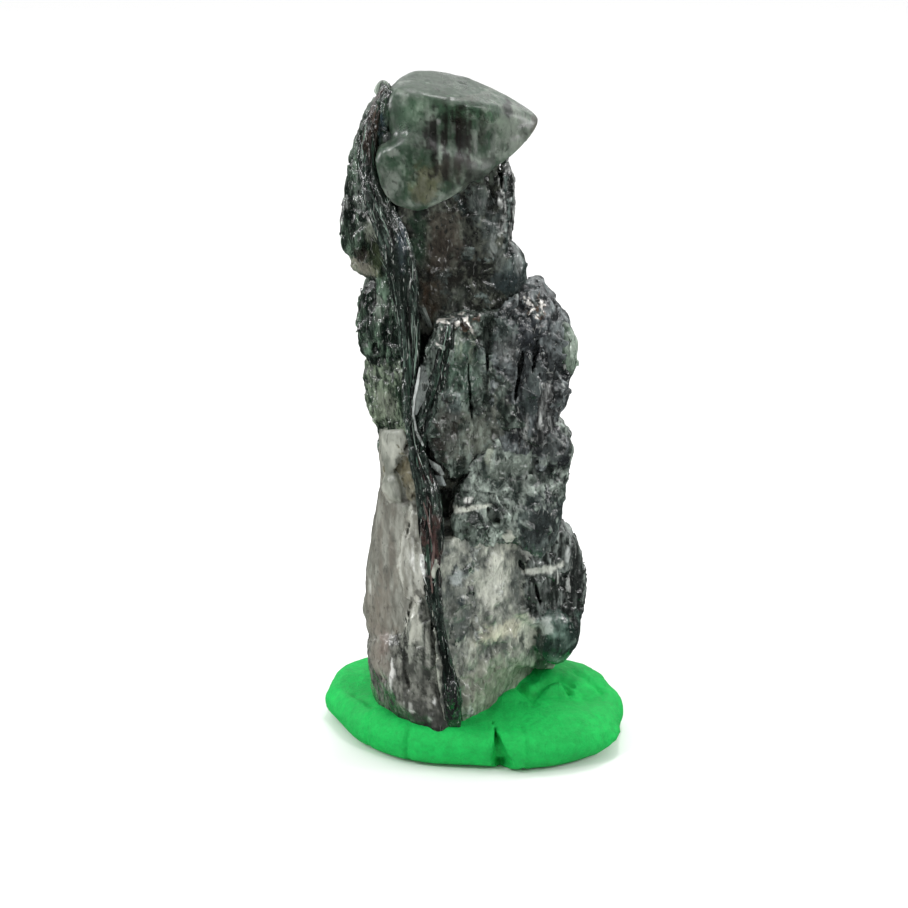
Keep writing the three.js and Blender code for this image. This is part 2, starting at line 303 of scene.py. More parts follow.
class Crystal:
    """A crystal whose outline lists [x, z] corners as seen from the front. `front` and `back` are the
    depths of its faces at the outline's middle, `slope` turns the front face, and `dome` rounds both.
    `blend` is how softly its faces meet, and `melt` how softly it joins its neighbours."""

    def __init__(self, look, outline, front, back, slope=0.0, dome=0.5, blend=0.35, melt=0.2):
        self.look, self.melt = look, melt
        self.outline = np.array(outline, np.float32)
        self.front, self.back, self.slope, self.dome, self.blend = front, back, slope, dome, blend
        self.low_xz, self.high_xz = self.outline.min(0), self.outline.max(0)
        self.middle = (self.low_xz + self.high_xz) / 2
        self.half = (self.high_xz - self.low_xz) / 2

    def reach(self):
        """The lowest and highest corners of the crystal's box."""
        swing = abs(self.slope) * self.half[0]
        low = (self.low_xz[0], self.front - swing, self.low_xz[1])
        high = (self.high_xz[0], self.back + 0.3 * swing, self.high_xz[1])
        return np.array(low), np.array(high)

    def distance(self, x, y, z):
        across, up = x - self.middle[0], z - self.middle[1]
        side = None
        ends = np.roll(self.outline, -1, axis=0)
        for start, end in zip(self.outline, ends):
            edge = end - start
            normal = np.array([edge[1], -edge[0]]) / np.hypot(*edge)
            if normal @ (self.middle - start) > 0:
                normal = -normal
            plane = normal[0] * (x - start[0]) + normal[1] * (z - start[1])
            side = plane if side is None else soft_max(side, plane, SIDE_BLEND)
        round_off = self.dome * ((across / self.half[0]) ** 2 + (up / self.half[1]) ** 2) / 2
        front = (self.front + self.slope * across + round_off - y) / math.hypot(1, self.slope)
        back = y - self.back + round_off
        return soft_max(side, soft_max(front, back, self.blend), self.blend)


class Faceted:
    """A crystal with flat faces: the smallest convex solid around its [x, y, z] corners."""

    def __init__(self, look, corners, bevel=0.05, melt=0.1):
        self.look, self.bevel, self.melt = look, bevel, melt
        self.corners = np.array(corners, float)
        self.middle = self.corners.mean(0)
        shape = bmesh.new()
        for corner in self.corners:
            shape.verts.new(corner - self.middle)
        bmesh.ops.convex_hull(shape, input=shape.verts)
        planes = set()
        for face in shape.faces:
            face.normal_update()
            normal = np.array(face.normal)
            offset = float(normal @ np.array(face.verts[0].co))
            if offset < 0:
                normal, offset = -normal, -offset
            planes.add(tuple(round(float(value), 3) for value in (*normal, offset)))
        shape.free()
        self.planes = sorted(planes)

    def reach(self):
        return self.corners.min(0), self.corners.max(0)

    def distance(self, x, y, z):
        x, y, z = x - self.middle[0], y - self.middle[1], z - self.middle[2]
        total = None
        for a, b, c, offset in self.planes:
            plane = a * x + b * y + c * z - offset
            total = plane if total is None else soft_max(total, plane, self.bevel)
        return total


class Column:
    """A six-sided column with a pointed tip, leaning from its foot to its tip."""

    TIP_SLOPE = 0.9
    melt = 0.1

    def __init__(self, look, foot, tip, radius, turn=0.0):
        self.look, self.radius = look, radius
        self.foot, self.tip = np.array(foot, float), np.array(tip, float)
        axis = self.tip - self.foot
        self.length = np.linalg.norm(axis)
        self.axis = axis / self.length
        side = np.cross(self.axis, (math.cos(turn), math.sin(turn), 0))
        self.side = side / np.linalg.norm(side)
        self.other = np.cross(self.axis, self.side)

    def reach(self):
        low = np.minimum(self.foot, self.tip) - self.radius
        high = np.maximum(self.foot, self.tip) + self.radius
        return low, high

    def distance(self, x, y, z):
        away = [x - self.foot[0], y - self.foot[1], z - self.foot[2]]
        along = sum(a * b for a, b in zip(away, self.axis))
        left = sum(a * b for a, b in zip(away, self.side))
        right = sum(a * b for a, b in zip(away, self.other))
        apothem = self.radius * math.cos(math.pi / 6)
        total = -along
        for face in range(6):
            angle = math.pi / 3 * face
            outward = left * math.cos(angle) + right * math.sin(angle)
            total = np.maximum(total, outward - apothem)
            tip = outward * self.TIP_SLOPE + (along - self.length)
            total = np.maximum(total, tip / math.hypot(1, self.TIP_SLOPE))
        return total


def route_at(route, z):
    """The x, y and half widths of a route at a height. The route runs down from its first row."""
    rows = np.array(route, float)[::-1]
    return [np.interp(z, rows[:, 2], rows[:, column]) for column in (0, 1, 3, 4)]


class Ridge:
    """A ridge that follows a route whose rows are [x, y, z, half width, half depth]."""

    melt = 0.1

    def __init__(self, look, route):
        self.look, self.route = look, route

    def reach(self):
        rows = np.array(self.route, float)
        low = (rows[:, :3] - rows[:, (3, 4, 4)]).min(0)
        high = (rows[:, :3] + rows[:, (3, 4, 4)]).max(0)
        return low, high

    def distance(self, x, y, z):
        centre_x, centre_y, wide, deep = route_at(self.route, z)
        round_part = np.sqrt(((x - centre_x) / wide) ** 2 + ((y - centre_y) / deep) ** 2) - 1
        ends = np.maximum(z - self.route[0][2], self.route[-1][2] - z)
        return np.maximum(round_part * np.minimum(wide, deep), ends)


class Field:
    """A grid of voxels holding the distance to a solid's surface."""

    def __init__(self, low, high, voxel):
        self.voxel = voxel
        self.low = np.array(low, np.float32)
        counts = np.ceil((np.array(high) - np.array(low)) / voxel).astype(int) + 1
        self.axes = [self.low[i] + voxel * np.arange(counts[i], dtype=np.float32) for i in range(3)]
        self.distance = np.full(counts, FAR, np.float32)
        self.owner = np.zeros(counts, np.int8)

    def window(self, low, high):
        """The part of the grid between two corners: its slices and the coordinates in them."""
        slices, spans = [], []
        for axis in range(3):
            first, last = np.searchsorted(self.axes[axis], (low[axis], high[axis]))
            slices.append(slice(first, last))
            shape = [1, 1, 1]
            shape[axis] = -1
            spans.append(self.axes[axis][first:last].reshape(shape))
        return tuple(slices), spans

    def join(self, crystal, blend):
        low, high = crystal.reach()
        slices, spans = self.window(low - MARGIN, high + MARGIN)
        fresh = crystal.distance(*spans).astype(np.float32)
        before = self.distance[slices]
        fresh = np.broadcast_to(fresh, before.shape)
        self.owner[slices] = np.where(fresh < before, LOOK_NAMES.index(crystal.look), self.owner[slices])
        self.distance[slices] = soft_min(before, fresh, blend)

    def spans(self):
        """The coordinates along each axis, shaped to spread over the grid."""
        return [axis.reshape([-1 if i == k else 1 for i in range(3)]) for k, axis in enumerate(self.axes)]

    def near(self):
        """Indices and places of the voxels near the surface."""
        index = np.nonzero(np.abs(self.distance) < BAND)
        places = np.stack([self.axes[i][index[i]] for i in range(3)], 1)
        return index, places

    def surface(self):
        """Points and quads of the surface, wound so that it faces out."""
        grid = openvdb.FloatGrid(FAR)
        grid.copyFromArray(np.clip(self.distance, -FAR, FAR))
        points, quads = grid.convertToQuads(0.0)
        points = self.low + points * self.voxel
        corners = points[quads].astype(float)
        twist = np.cross(corners[:, 2] - corners[:, 0], corners[:, 3] - corners[:, 1])
        if (twist * corners.mean(1)).sum() < 0:
            quads = quads[:, ::-1]
        return points, quads

    def owners_at(self, points):
        index = np.rint((points - self.low) / self.voxel).astype(int)
        index = np.clip(index, 0, np.array(self.owner.shape) - 1)
        return self.owner[tuple(index.T)]


def largest_part(points, quads):
    """The mesh's largest connected part, without the specks and closed cavities that noise leaves."""
    label = np.arange(len(points))
    while True:
        corners = label[quads]
        joined = label.copy()
        np.minimum.at(joined, corners.ravel(), np.repeat(corners.min(axis=1), 4))
        joined = joined[joined]
        if (joined == label).all():
            break
        label = joined
    part = label[quads[:, 0]]
    kept = quads[part == np.bincount(part).argmax()]
    used = np.unique(kept)
    place = np.zeros(len(points), int)
    place[used] = np.arange(len(used))
    return points[used], place[kept]


def make_mesh(name, points, faces):
    """A mesh object from points in millimetres and faces that all have as many sides."""
    sides = faces.shape[1]
    mesh = bpy.data.meshes.new(name)
    mesh.vertices.add(len(points))
    mesh.vertices.foreach_set("co", (points * MM).astype(np.float32).ravel())
    mesh.loops.add(faces.size)
    mesh.loops.foreach_set("vertex_index", faces.astype(np.int32).ravel())
    mesh.polygons.add(len(faces))
    mesh.polygons.foreach_set("loop_start", np.arange(0, faces.size, sides, dtype=np.int32))
    mesh.polygons.foreach_set("loop_total", np.full(len(faces), sides, np.int32))
    mesh.update(calc_edges=True)
    mesh.validate()
    piece = bpy.data.objects.new(name, mesh)
    bpy.context.scene.collection.objects.link(piece)
    mesh.polygons.foreach_set("use_smooth", np.ones(len(mesh.polygons), bool))
    return piece


def paint(piece, colours):
    """Stores each vertex's colour, with its roughness as the alpha."""
    layer = piece.data.color_attributes.new(name="tint", type="FLOAT_COLOR", domain="POINT")
    rows = np.clip(colours, 0, 1).astype(np.float32)
    layer.data.foreach_set("color", rows.ravel())


def claim(piece, node, material):
    """Gives a piece its material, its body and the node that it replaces."""
    piece.data.materials.append(material)
    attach(piece, "root")
    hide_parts(node)


STREAKY = True
PATCH_RAGGED = 0.45

# How far the borders between looks wander, in millimetres, and how the noise for each axis is shifted.
RAGGED_REACH = 0.28
RAGGED_SHIFTS = (3, 7, 13)


def stain_and_painted_light(colour, points, place, radii, shade, amount, streaky=False):
    """Tints the vertices around an (x, z) place on the front towards a shade, with a ragged edge. Some
    patches are the crystal's own colour, and some are painted highlights, glints and shade. A streaky
    patch breaks up into upright lines."""
    gap = np.hypot((points[:, 0] - place[0]) / radii[0], (points[:, 2] - place[1]) / radii[1])
    gap += PATCH_RAGGED * patch_noise.layers(points, 0.8, 4, 0.7)
    part = amount * (1 - ramp(gap, 0.55, 1.15)) * (1 - ramp(points[:, 1], -0.2, 1.6))
    if streaky:
        part *= ramp(streak_noise.layers(points, (0.26, 0.26, 3.2), 2), -0.25, 0.35)
    colour[:, :3] += (linear(*shade) - colour[:, :3]) * part[:, None]


def grow_crystals(name, crystals, material, slices=(), cuts=(), stains_and_painted_light=(), voxel=VOXEL,
                  follow=None, raw=False):
    """One piece: crystals joined, sliced, roughened unless they stay raw, cut, meshed and tinted. Where
    the piece follows a route, its noise does too."""
    reaches = [crystal.reach() for crystal in crystals]
    low = np.min([reach[0] for reach in reaches], axis=0) - MARGIN
    high = np.max([reach[1] for reach in reaches], axis=0) + MARGIN
    field = Field(low, high, voxel)
    for crystal in crystals:
        field.join(crystal, crystal.melt)
    for piece in slices:
        away = -piece.distance(*field.spans())
        field.distance = soft_max(field.distance, away, SLICE_BLEND).astype(np.float32)

    def along_route(places):
        if follow is None:
            return places
        shift = np.array(route_at(follow, places[:, 2])[:2]).T
        return (places - np.hstack([shift, np.zeros((len(places), 1))])).astype(np.float32)

    index, places = field.near()
    if not raw:
        field.distance[index] -= roughening(along_route(places), field.owner[index])
    for cut in cuts:
        field.distance[index] = np.maximum(field.distance[index], -cut(places))
    points, quads = field.surface()
    if not raw:
        points, quads = largest_part(points, quads)
    piece = make_mesh(name, points, quads)
    ragged = [broad_noise.layers(points + shift, 0.9, 3, 0.7) for shift in RAGGED_SHIFTS]
    owners = field.owners_at(points + RAGGED_REACH * np.stack(ragged, 1))
    straight = along_route(points)
    colour = tints(straight, owners)
    for spot in stains_and_painted_light:
        # Patches of the crystal's own colour, and patches of painted highlight, glint and shade.
        stain_and_painted_light(colour, points, *spot)
    paint(piece, colour)
    claim(piece, CLUSTER, material)


def fissure(top, bottom, width, depth_to):
    """A narrow slot in a front face, from one (x, z) place to another, as deep as y = depth_to."""
    start, end = np.array(top, np.float32), np.array(bottom, np.float32)

    def cut(points):
        flat = points[:, (0, 2)] - start
        way = end - start
        part = np.clip(flat @ way / (way @ way), 0, 1)
        wobble = 0.10 * streak_noise.layers(points, (0.7, 0.7, 0.9), 2)
        gap = np.hypot(*(flat - part[:, None] * way).T) + wobble
        taper = np.sin(np.pi * np.clip(part, 0.04, 0.96)) ** 0.5
        return np.maximum(gap - width / 2 * taper, points[:, 1] - depth_to)

    return cut


class Slice:
    """A flat cut that takes off what lies outward of a place, below a top that falls to the right."""

    def __init__(self, place, outward, top, slant):
        self.place, self.top, self.slant = place, top, slant
        self.normal = np.array(outward, float) / np.linalg.norm(outward)

    def distance(self, x, y, z):
        (a, b, c), (px, py, pz) = self.normal, self.place
        plane = a * (x - px) + b * (y - py) + c * (z - pz)
        return soft_max(-plane, z - self.top + self.slant * x, 0.8)


# ---------------------------------------------------------------- small broken crystals on the big ones

TURN = 2 * math.pi

# Places tried for a face, from front to back, 0.1 mm apart.
DEPTHS = np.linspace(-9, 9, 181)


def joined_distance(solids, x, y, z):
    return np.min([solid.distance(x, y, z) for solid in solids], axis=0)


def face_depth(solids, x, z, from_back=False):
    """The y of the first surface met at (x, z), from the front or from the back, or None."""
    depths = DEPTHS[::-1] if from_back else DEPTHS
    inside = joined_distance(solids, x, depths, z) < 0
    return depths[inside.argmax()] if inside.any() else None


def chip(look, centre, half, random, lean):
    """A small broken prism with four to six sides and slanting ends."""
    sides = random.integers(4, 7)
    angles = (np.arange(sides) + random.uniform(-0.25, 0.25, sides)) * TURN / sides
    angles += random.uniform(0, TURN)
    slants = random.uniform(-0.7, 0.7, (2, 2))
    corners = []
    for end, slant in zip((-1, 1), slants):
        for angle in angles:
            x, y = math.cos(angle) * half[0], math.sin(angle) * half[1]
            corners.append((x, y, end * half[2] + slant @ (x, y)))
    tip_x, tip_y = random.normal(0, lean, 2)
    turn = np.array([[1, 0, tip_x], [0, 1, tip_y], [-tip_x, -tip_y, 1]])
    return Faceted(look, np.array(corners) @ turn.T + centre, bevel=0.03, melt=0.5 * half[1])


def studs(solids, looks, count, size, seed, box, stretch=1.8, flat=0.6, lean=0.2, from_back=False):
    """Chips half sunk in the face of the solids, at random places of a box (low x, low z, high x,
    high z). `size` gives the least and the greatest half width. A chip is left out where its middle or a
    corner finds no face."""
    random = np.random.default_rng(seed)
    made = []
    for _ in range(count):
        x, z = random.uniform(box[0], box[2]), random.uniform(box[1], box[3])
        wide = random.uniform(*size)
        half = (wide, wide * flat * random.uniform(0.7, 1.3), wide * stretch * random.uniform(0.6, 1.4))
        look = looks[random.integers(len(looks))]
        sink = half[1] * random.uniform(0.3, 0.9)
        y = face_depth(solids, x, z, from_back)
        piece = chip(look, (x, (y or 0) + (-sink if from_back else sink), z), half, random, lean)
        corners = [(x + side * half[0], z + end * half[2]) for side in (-1, 1) for end in (-1, 1)]
        inside = [face_depth(solids, *corner, from_back) is not None for corner in corners]
        if y is not None and all(inside):
            made.append(piece)
    return made


# ---------------------------------------------------------------- materials

REFRACTION = 1.63
WARP_SCALE = 1.3
WARP_REACH = 1.5
PIT_SCALE = 3.0
# The near-black colour of the painted shade in tiny pits.
PIT_SHADE_COLOUR = (0.010, 0.012, 0.010)
FLECK_SCALE = 4.5
# The pale colour of the painted glints.
GLINT_FLECK_COLOUR = (0.55, 0.57, 0.53)
CELL_SCALE = 3.5


def new_material(name):
    material = bpy.data.materials.new(name)
    material.use_nodes = True
    tree = material.node_tree
    return material, tree, tree.nodes["Principled BSDF"]


def feed(node, inputs):
    """Fills a node's inputs, by name or number, and returns it. Each value is a constant or a socket."""
    for name, value in inputs.items():
        if isinstance(value, bpy.types.NodeSocket):
            node.id_data.links.new(value, node.inputs[name])
        else:
            node.inputs[name].default_value = value
    return node


def add_place(tree, stretch=(1, 1, 1)):
    """Object coordinates in millimetres, stretched."""
    place = tree.nodes.new("ShaderNodeTexCoord").outputs["Object"]
    inputs = {"Vector": place, "Scale": [part / MM for part in stretch]}
    return feed(tree.nodes.new("ShaderNodeMapping"), inputs).outputs["Vector"]


def add_noise(tree, place, scale, detail=3.0, rough=0.5, output="Fac"):
    """A noise node. Scale is in lumps for each millimetre."""
    inputs = {"Vector": place, "Scale": scale, "Detail": detail, "Roughness": rough}
    return feed(tree.nodes.new("ShaderNodeTexNoise"), inputs).outputs[output]


def add_range(tree, value, low, high, start=0.3, end=0.7):
    """A value that runs from start to end, spread from low to high."""
    inputs = {"Value": value, "From Min": start, "From Max": end, "To Min": low, "To Max": high}
    return feed(tree.nodes.new("ShaderNodeMapRange"), inputs).outputs["Result"]


def add_math(tree, operation, first, second):
    node = tree.nodes.new("ShaderNodeMath")
    node.operation = operation
    return feed(node, {0: first, 1: second}).outputs["Value"]


def add_vector_math(tree, operation, first, second, output="Vector"):
    """A vector sum, or another operation. Each side is a socket or a constant."""
    node = tree.nodes.new("ShaderNodeVectorMath")
    node.operation = operation
    return feed(node, {0: first, "Scale" if operation == "SCALE" else 1: second}).outputs[output]


def add_mix(tree, part, low, high):
    """A blend of a colour socket and a constant colour."""
    mix = tree.nodes.new("ShaderNodeMix")
    mix.data_type = "RGBA"
    return feed(mix, {"Factor": part, 6: low, 7: (*high, 1)}).outputs[2]


def add_tint(tree):
    """The vertices' own tint. Its alpha is their roughness."""
    tint = tree.nodes.new("ShaderNodeVertexColor")
    tint.layer_name = "tint"
    return tint.outputs


def add_relief(tree, shader, distance, inputs):
    """Relief on a shader's normal, from heights, as deep as the distance in millimetres."""
    relief = feed(tree.nodes.new("ShaderNodeBump"), {"Distance": distance * MM, **inputs})
    feed(shader, {"Normal": relief.outputs["Normal"]})


def mineral(name, specular, tilt, bump, stretch=(1, 1, 0.5), grain=1.3, contrast=(0.3, 2.0), glint_fleck=0.35,
            pit_shade=0.85):
    """A crystal's skin. Its vertices give its tint and roughness. Grain makes the tint lighter and darker,
    pale flecks of painted glint and dark pits of painted shade break it up, and tiny flat cells turn
    the light this way and that."""
    material, tree, shader = new_material(name)
    place = add_place(tree, stretch)
    warp = add_noise(tree, place, WARP_SCALE, 2.0, 0.5, "Color")
    bent = add_vector_math(tree, "ADD", place, add_vector_math(tree, "SCALE", warp, WARP_REACH))
    tint = add_tint(tree)
    fine = add_noise(tree, bent, grain, 9.0, 0.75)
    light = add_range(tree, fine, *contrast, 0.32, 0.68)
    # Painted shade: dark specks where tiny pits would lie in shadow.
    pit_shades = add_range(tree, add_noise(tree, bent, PIT_SCALE, 2.0), pit_shade, 0.0, 0.30, 0.40)
    # Painted highlights: small pale specks that stand for glints.
    glint_flecks = add_range(tree, add_noise(tree, bent, FLECK_SCALE, 2.0), 0.0, glint_fleck, 0.64, 0.70)
    shaded = add_vector_math(tree, "SCALE", tint["Color"], light)
    shaded = add_mix(tree, pit_shades, shaded, PIT_SHADE_COLOUR)
    shaded = add_mix(tree, glint_flecks, shaded, GLINT_FLECK_COLOUR)
    feed(shader, {"Base Color": shaded, "Roughness": tint["Alpha"]})
    feed(shader, {"Specular IOR Level": specular, "IOR": REFRACTION})
    cell = feed(tree.nodes.new("ShaderNodeTexVoronoi"), {"Vector": bent, "Scale": CELL_SCALE})
    turned = add_vector_math(tree, "SUBTRACT", cell.outputs["Color"], (0.5, 0.5, 0.5))
    turned = add_vector_math(tree, "SCALE", turned, tilt)
    flat = tree.nodes.new("ShaderNodeNewGeometry").outputs["Normal"]
    turned = add_vector_math(tree, "ADD", turned, flat)
    turned = add_vector_math(tree, "NORMALIZE", turned, (0, 0, 0))
    add_relief(tree, shader, bump, {"Height": fine, "Normal": turned})
    return material


def make_clear(material, absorbed, per_mm, transmission):
    """Makes a mineral see-through: light is absorbed along its path, and its skin scatters the rest."""
    nodes = material.node_tree.nodes
    feed(nodes["Principled BSDF"], {"Transmission Weight": transmission})
    inputs = {"Color": (*linear(*absorbed), 1), "Density": per_mm / MM}
    absorb = feed(nodes.new("ShaderNodeVolumeAbsorption"), inputs)
    feed(nodes["Material Output"], {"Volume": absorb.outputs["Volume"]})
    return material


rock = mineral("dark_apatite", 0.6, 0.36, 0.05)
dusky_rock = mineral("dusky_apatite", 0.5, 0.30, 0.04, contrast=(0.3, 2.1), glint_fleck=0.15)
pale_rock = mineral("pale_apatite", 0.5, 0.13, 0.03, stretch=(1.2, 1.2, 0.5), contrast=(0.8, 1.2),
                    glint_fleck=0.12, pit_shade=0.45)
grey_rock = mineral("grey_apatite", 0.5, 0.22, 0.03, contrast=(0.5, 1.6), glint_fleck=0.25, pit_shade=0.4)
blade_rock = mineral("blade_apatite", 0.7, 0.50, 0.03, stretch=(2.0, 2.0, 0.22), glint_fleck=0.6)
lens_rock = make_clear(
    mineral("lens_apatite", 0.6, 0.4, 0.04, stretch=(1.4, 1.4, 0.35), contrast=(0.2, 2.3), glint_fleck=0.5),
    (110, 150, 118), 0.6, 0.45,
)
cap_rock = make_clear(
    mineral("cap_apatite", 0.4, 0.06, 0.01, stretch=(1, 1, 0.6), contrast=(0.55, 1.55),
            glint_fleck=0.25, pit_shade=0.55),
    (140, 176, 146), 0.25, 0.75,
)

# ---------------------------------------------------------------- the left side

lenses = [
    Crystal("lens", [
        [-6.4, 48], [-7.4, 46.6], [-8.2, 44], [-9, 41.2], [-9.3, 38.6], [-9.1, 37], [-8.4, 35.9],
        [-7.2, 35.3], [-5.6, 36.4], [-5.2, 41], [-5.8, 46],
    ], -3, 1.4, slope=-0.7, dome=1),
    Crystal("lens", [
        [-7, 35.6], [-7.8, 34.2], [-8.2, 32], [-8, 30.2], [-7.2, 29.1], [-4.8, 29.4], [-4.2, 33],
        [-5, 35.8],
    ], -3.4, 1.6, slope=-0.7, dome=0.9),
    Crystal("green", [
        [-7.4, 30], [-7.8, 27.8], [-7.6, 26], [-6.9, 24.6], [-4.6, 24.4], [-4, 28], [-5, 30.4],
    ], -3.6, 1.6, slope=-0.8, dome=0.8),
]
grow_crystals(
    "left_lenses",
    lenses
    + [
        Crystal("lens", [
            [-6.6, 47.4], [-6.1, 48.5], [-5.4, 48.3], [-4.8, 45.2], [-5.6, 44.2], [-6.9, 44.6],
        ], -3.7, -1, slope=-0.2),
        Crystal("clear", [
            [-6.7, 48.1], [-6.6, 48.6], [-6.1, 48.95], [-5.7, 48.8], [-5.7, 48.2], [-6.2, 47.8],
        ], -2.7, -2.1, dome=0.15, blend=0.15),
    ]
    + studs(
        lenses, ["lens", "plate", "lens"], 26, (0.15, 0.35), 51, (-8.2, 30.5, -5, 44), stretch=4,
        lean=0.08,
    )
    + studs(lenses, ["green", "quartz"], 8, (0.25, 0.5), 52, (-7, 25.6, -4.6, 29), stretch=1.4)
    + studs(
        lenses, ["lens", "plate"], 16, (0.15, 0.35), 53, (-8.2, 26, -5, 44), stretch=3.5, from_back=True,
    ),
    lens_rock,
    stains_and_painted_light=[
        ((-5.8, 45.8), (0.9, 1.6), (58, 74, 84), 0.8, STREAKY),
        # Painted highlight: a near-white glint on the lens.
        ((-7, 39.9), (0.3, 0.35), (240, 242, 236), 0.9),
        ((-6.9, 38.9), (0.55, 0.9), (140, 146, 132), 0.7),
        # Painted highlight: bright streaks of glint down the lens.
        ((-7.7, 42), (0.6, 2.2), (132, 142, 134), 0.6, STREAKY),
        # Painted light: the pale rim along the lens's thin bottom edge.
        ((-8, 36.4), (1.3, 0.7), (146, 144, 130), 0.7),
        ((-7.6, 37.3), (0.8, 0.5), (70, 62, 56), 0.7),
        ((-8.4, 39.8), (0.4, 1.6), (14, 20, 16), 0.7),
        ((-8.9, 40.4), (0.8, 3), (14, 24, 18), 0.8),
        ((-6.6, 37.4), (0.9, 1.4), (84, 96, 66), 0.5),
        ((-6.4, 33.6), (0.5, 1.2), (136, 142, 134), 0.7, STREAKY),
        ((-7.4, 32), (0.5, 1.4), (18, 26, 24), 0.7),
        ((-6.2, 26.8), (0.8, 0.9), (150, 158, 140), 0.5),
    ],
)

blocks = [
    Crystal("pale", [
        [-6.5, 25], [-6.75, 24], [-6.7, 22.8], [-6.2, 21.2], [-5.7, 21.6], [-5.1, 23], [-4.6, 24.6],
        [-4.9, 25.4],
    ], -3.9, 0.5, slope=-0.7, dome=0.4),
    Crystal("hollow", [
        [-6.3, 24.6], [-6.5, 22], [-6.4, 20.4], [-5.8, 19.4], [-4, 19.4], [-3.8, 22], [-4.2, 24.8],
    ], -3.5, 2, slope=-0.8, dome=0.4, blend=0.6),
    Crystal("pale", [
        [-6.3, 21.5], [-5.5, 21.9], [-5.1, 20.8], [-5.1, 19.6], [-6.2, 19.6], [-6.6, 20.4],
    ], -3.9, 0.5, slope=-0.6, dome=0.6),
    Crystal("wood", [
        [-6.4, 20.6], [-7.1, 18.6], [-7.8, 14], [-8.2, 11], [-8.3, 9.4], [-7.9, 8.1], [-6.2, 6.4],
        [-3.6, 5], [-3.2, 8], [-3.4, 15.6], [-4.2, 19.4], [-5, 20.2],
    ], -3.5, 2.4, slope=-0.9, dome=0.7, blend=0.8),
    Faceted("sole", [
        [-8.1, 0.8, 1.6], [-6.9, -3, 1.6], [-4.2, -6, 1.6], [-2.3, -6.8, 1.6], [-0.7, -4.6, 1.6],
        [-1, 1.5, 1.6], [-8.1, 0.8, 7.3], [-8, -2.4, 6.8], [-5.6, -5, 8], [-2.6, -5.8, 8],
        [-1.6, -4.8, 7], [-7.4, 1.5, 8], [-2.4, 1.5, 9], [-6.2, -3.6, 9.6], [-3.2, -4.6, 10.6],
    ], bevel=1, melt=0.4),
    Crystal("foot", [
        [-4.2, 13.4], [-4.8, 11.4], [-5.3, 9.2], [-5.3, 7.2], [-4.7, 5.8], [-3.3, 5.4], [-2.2, 6],
        [-2.2, 7.8], [-2.8, 10.6], [-3.4, 12.8],
    ], -5.7, 0.5, slope=-0.35, dome=1, blend=0.9, melt=0.3),
    Crystal("strip", [
        [-4.5, 19.8], [-5.1, 17.2], [-5.5, 14.6], [-4.9, 12.4], [-3.3, 13.2], [-2.9, 15.6], [-3.4, 19],
    ], -5, 0, slope=-0.5, dome=0.5, blend=0.3),
]
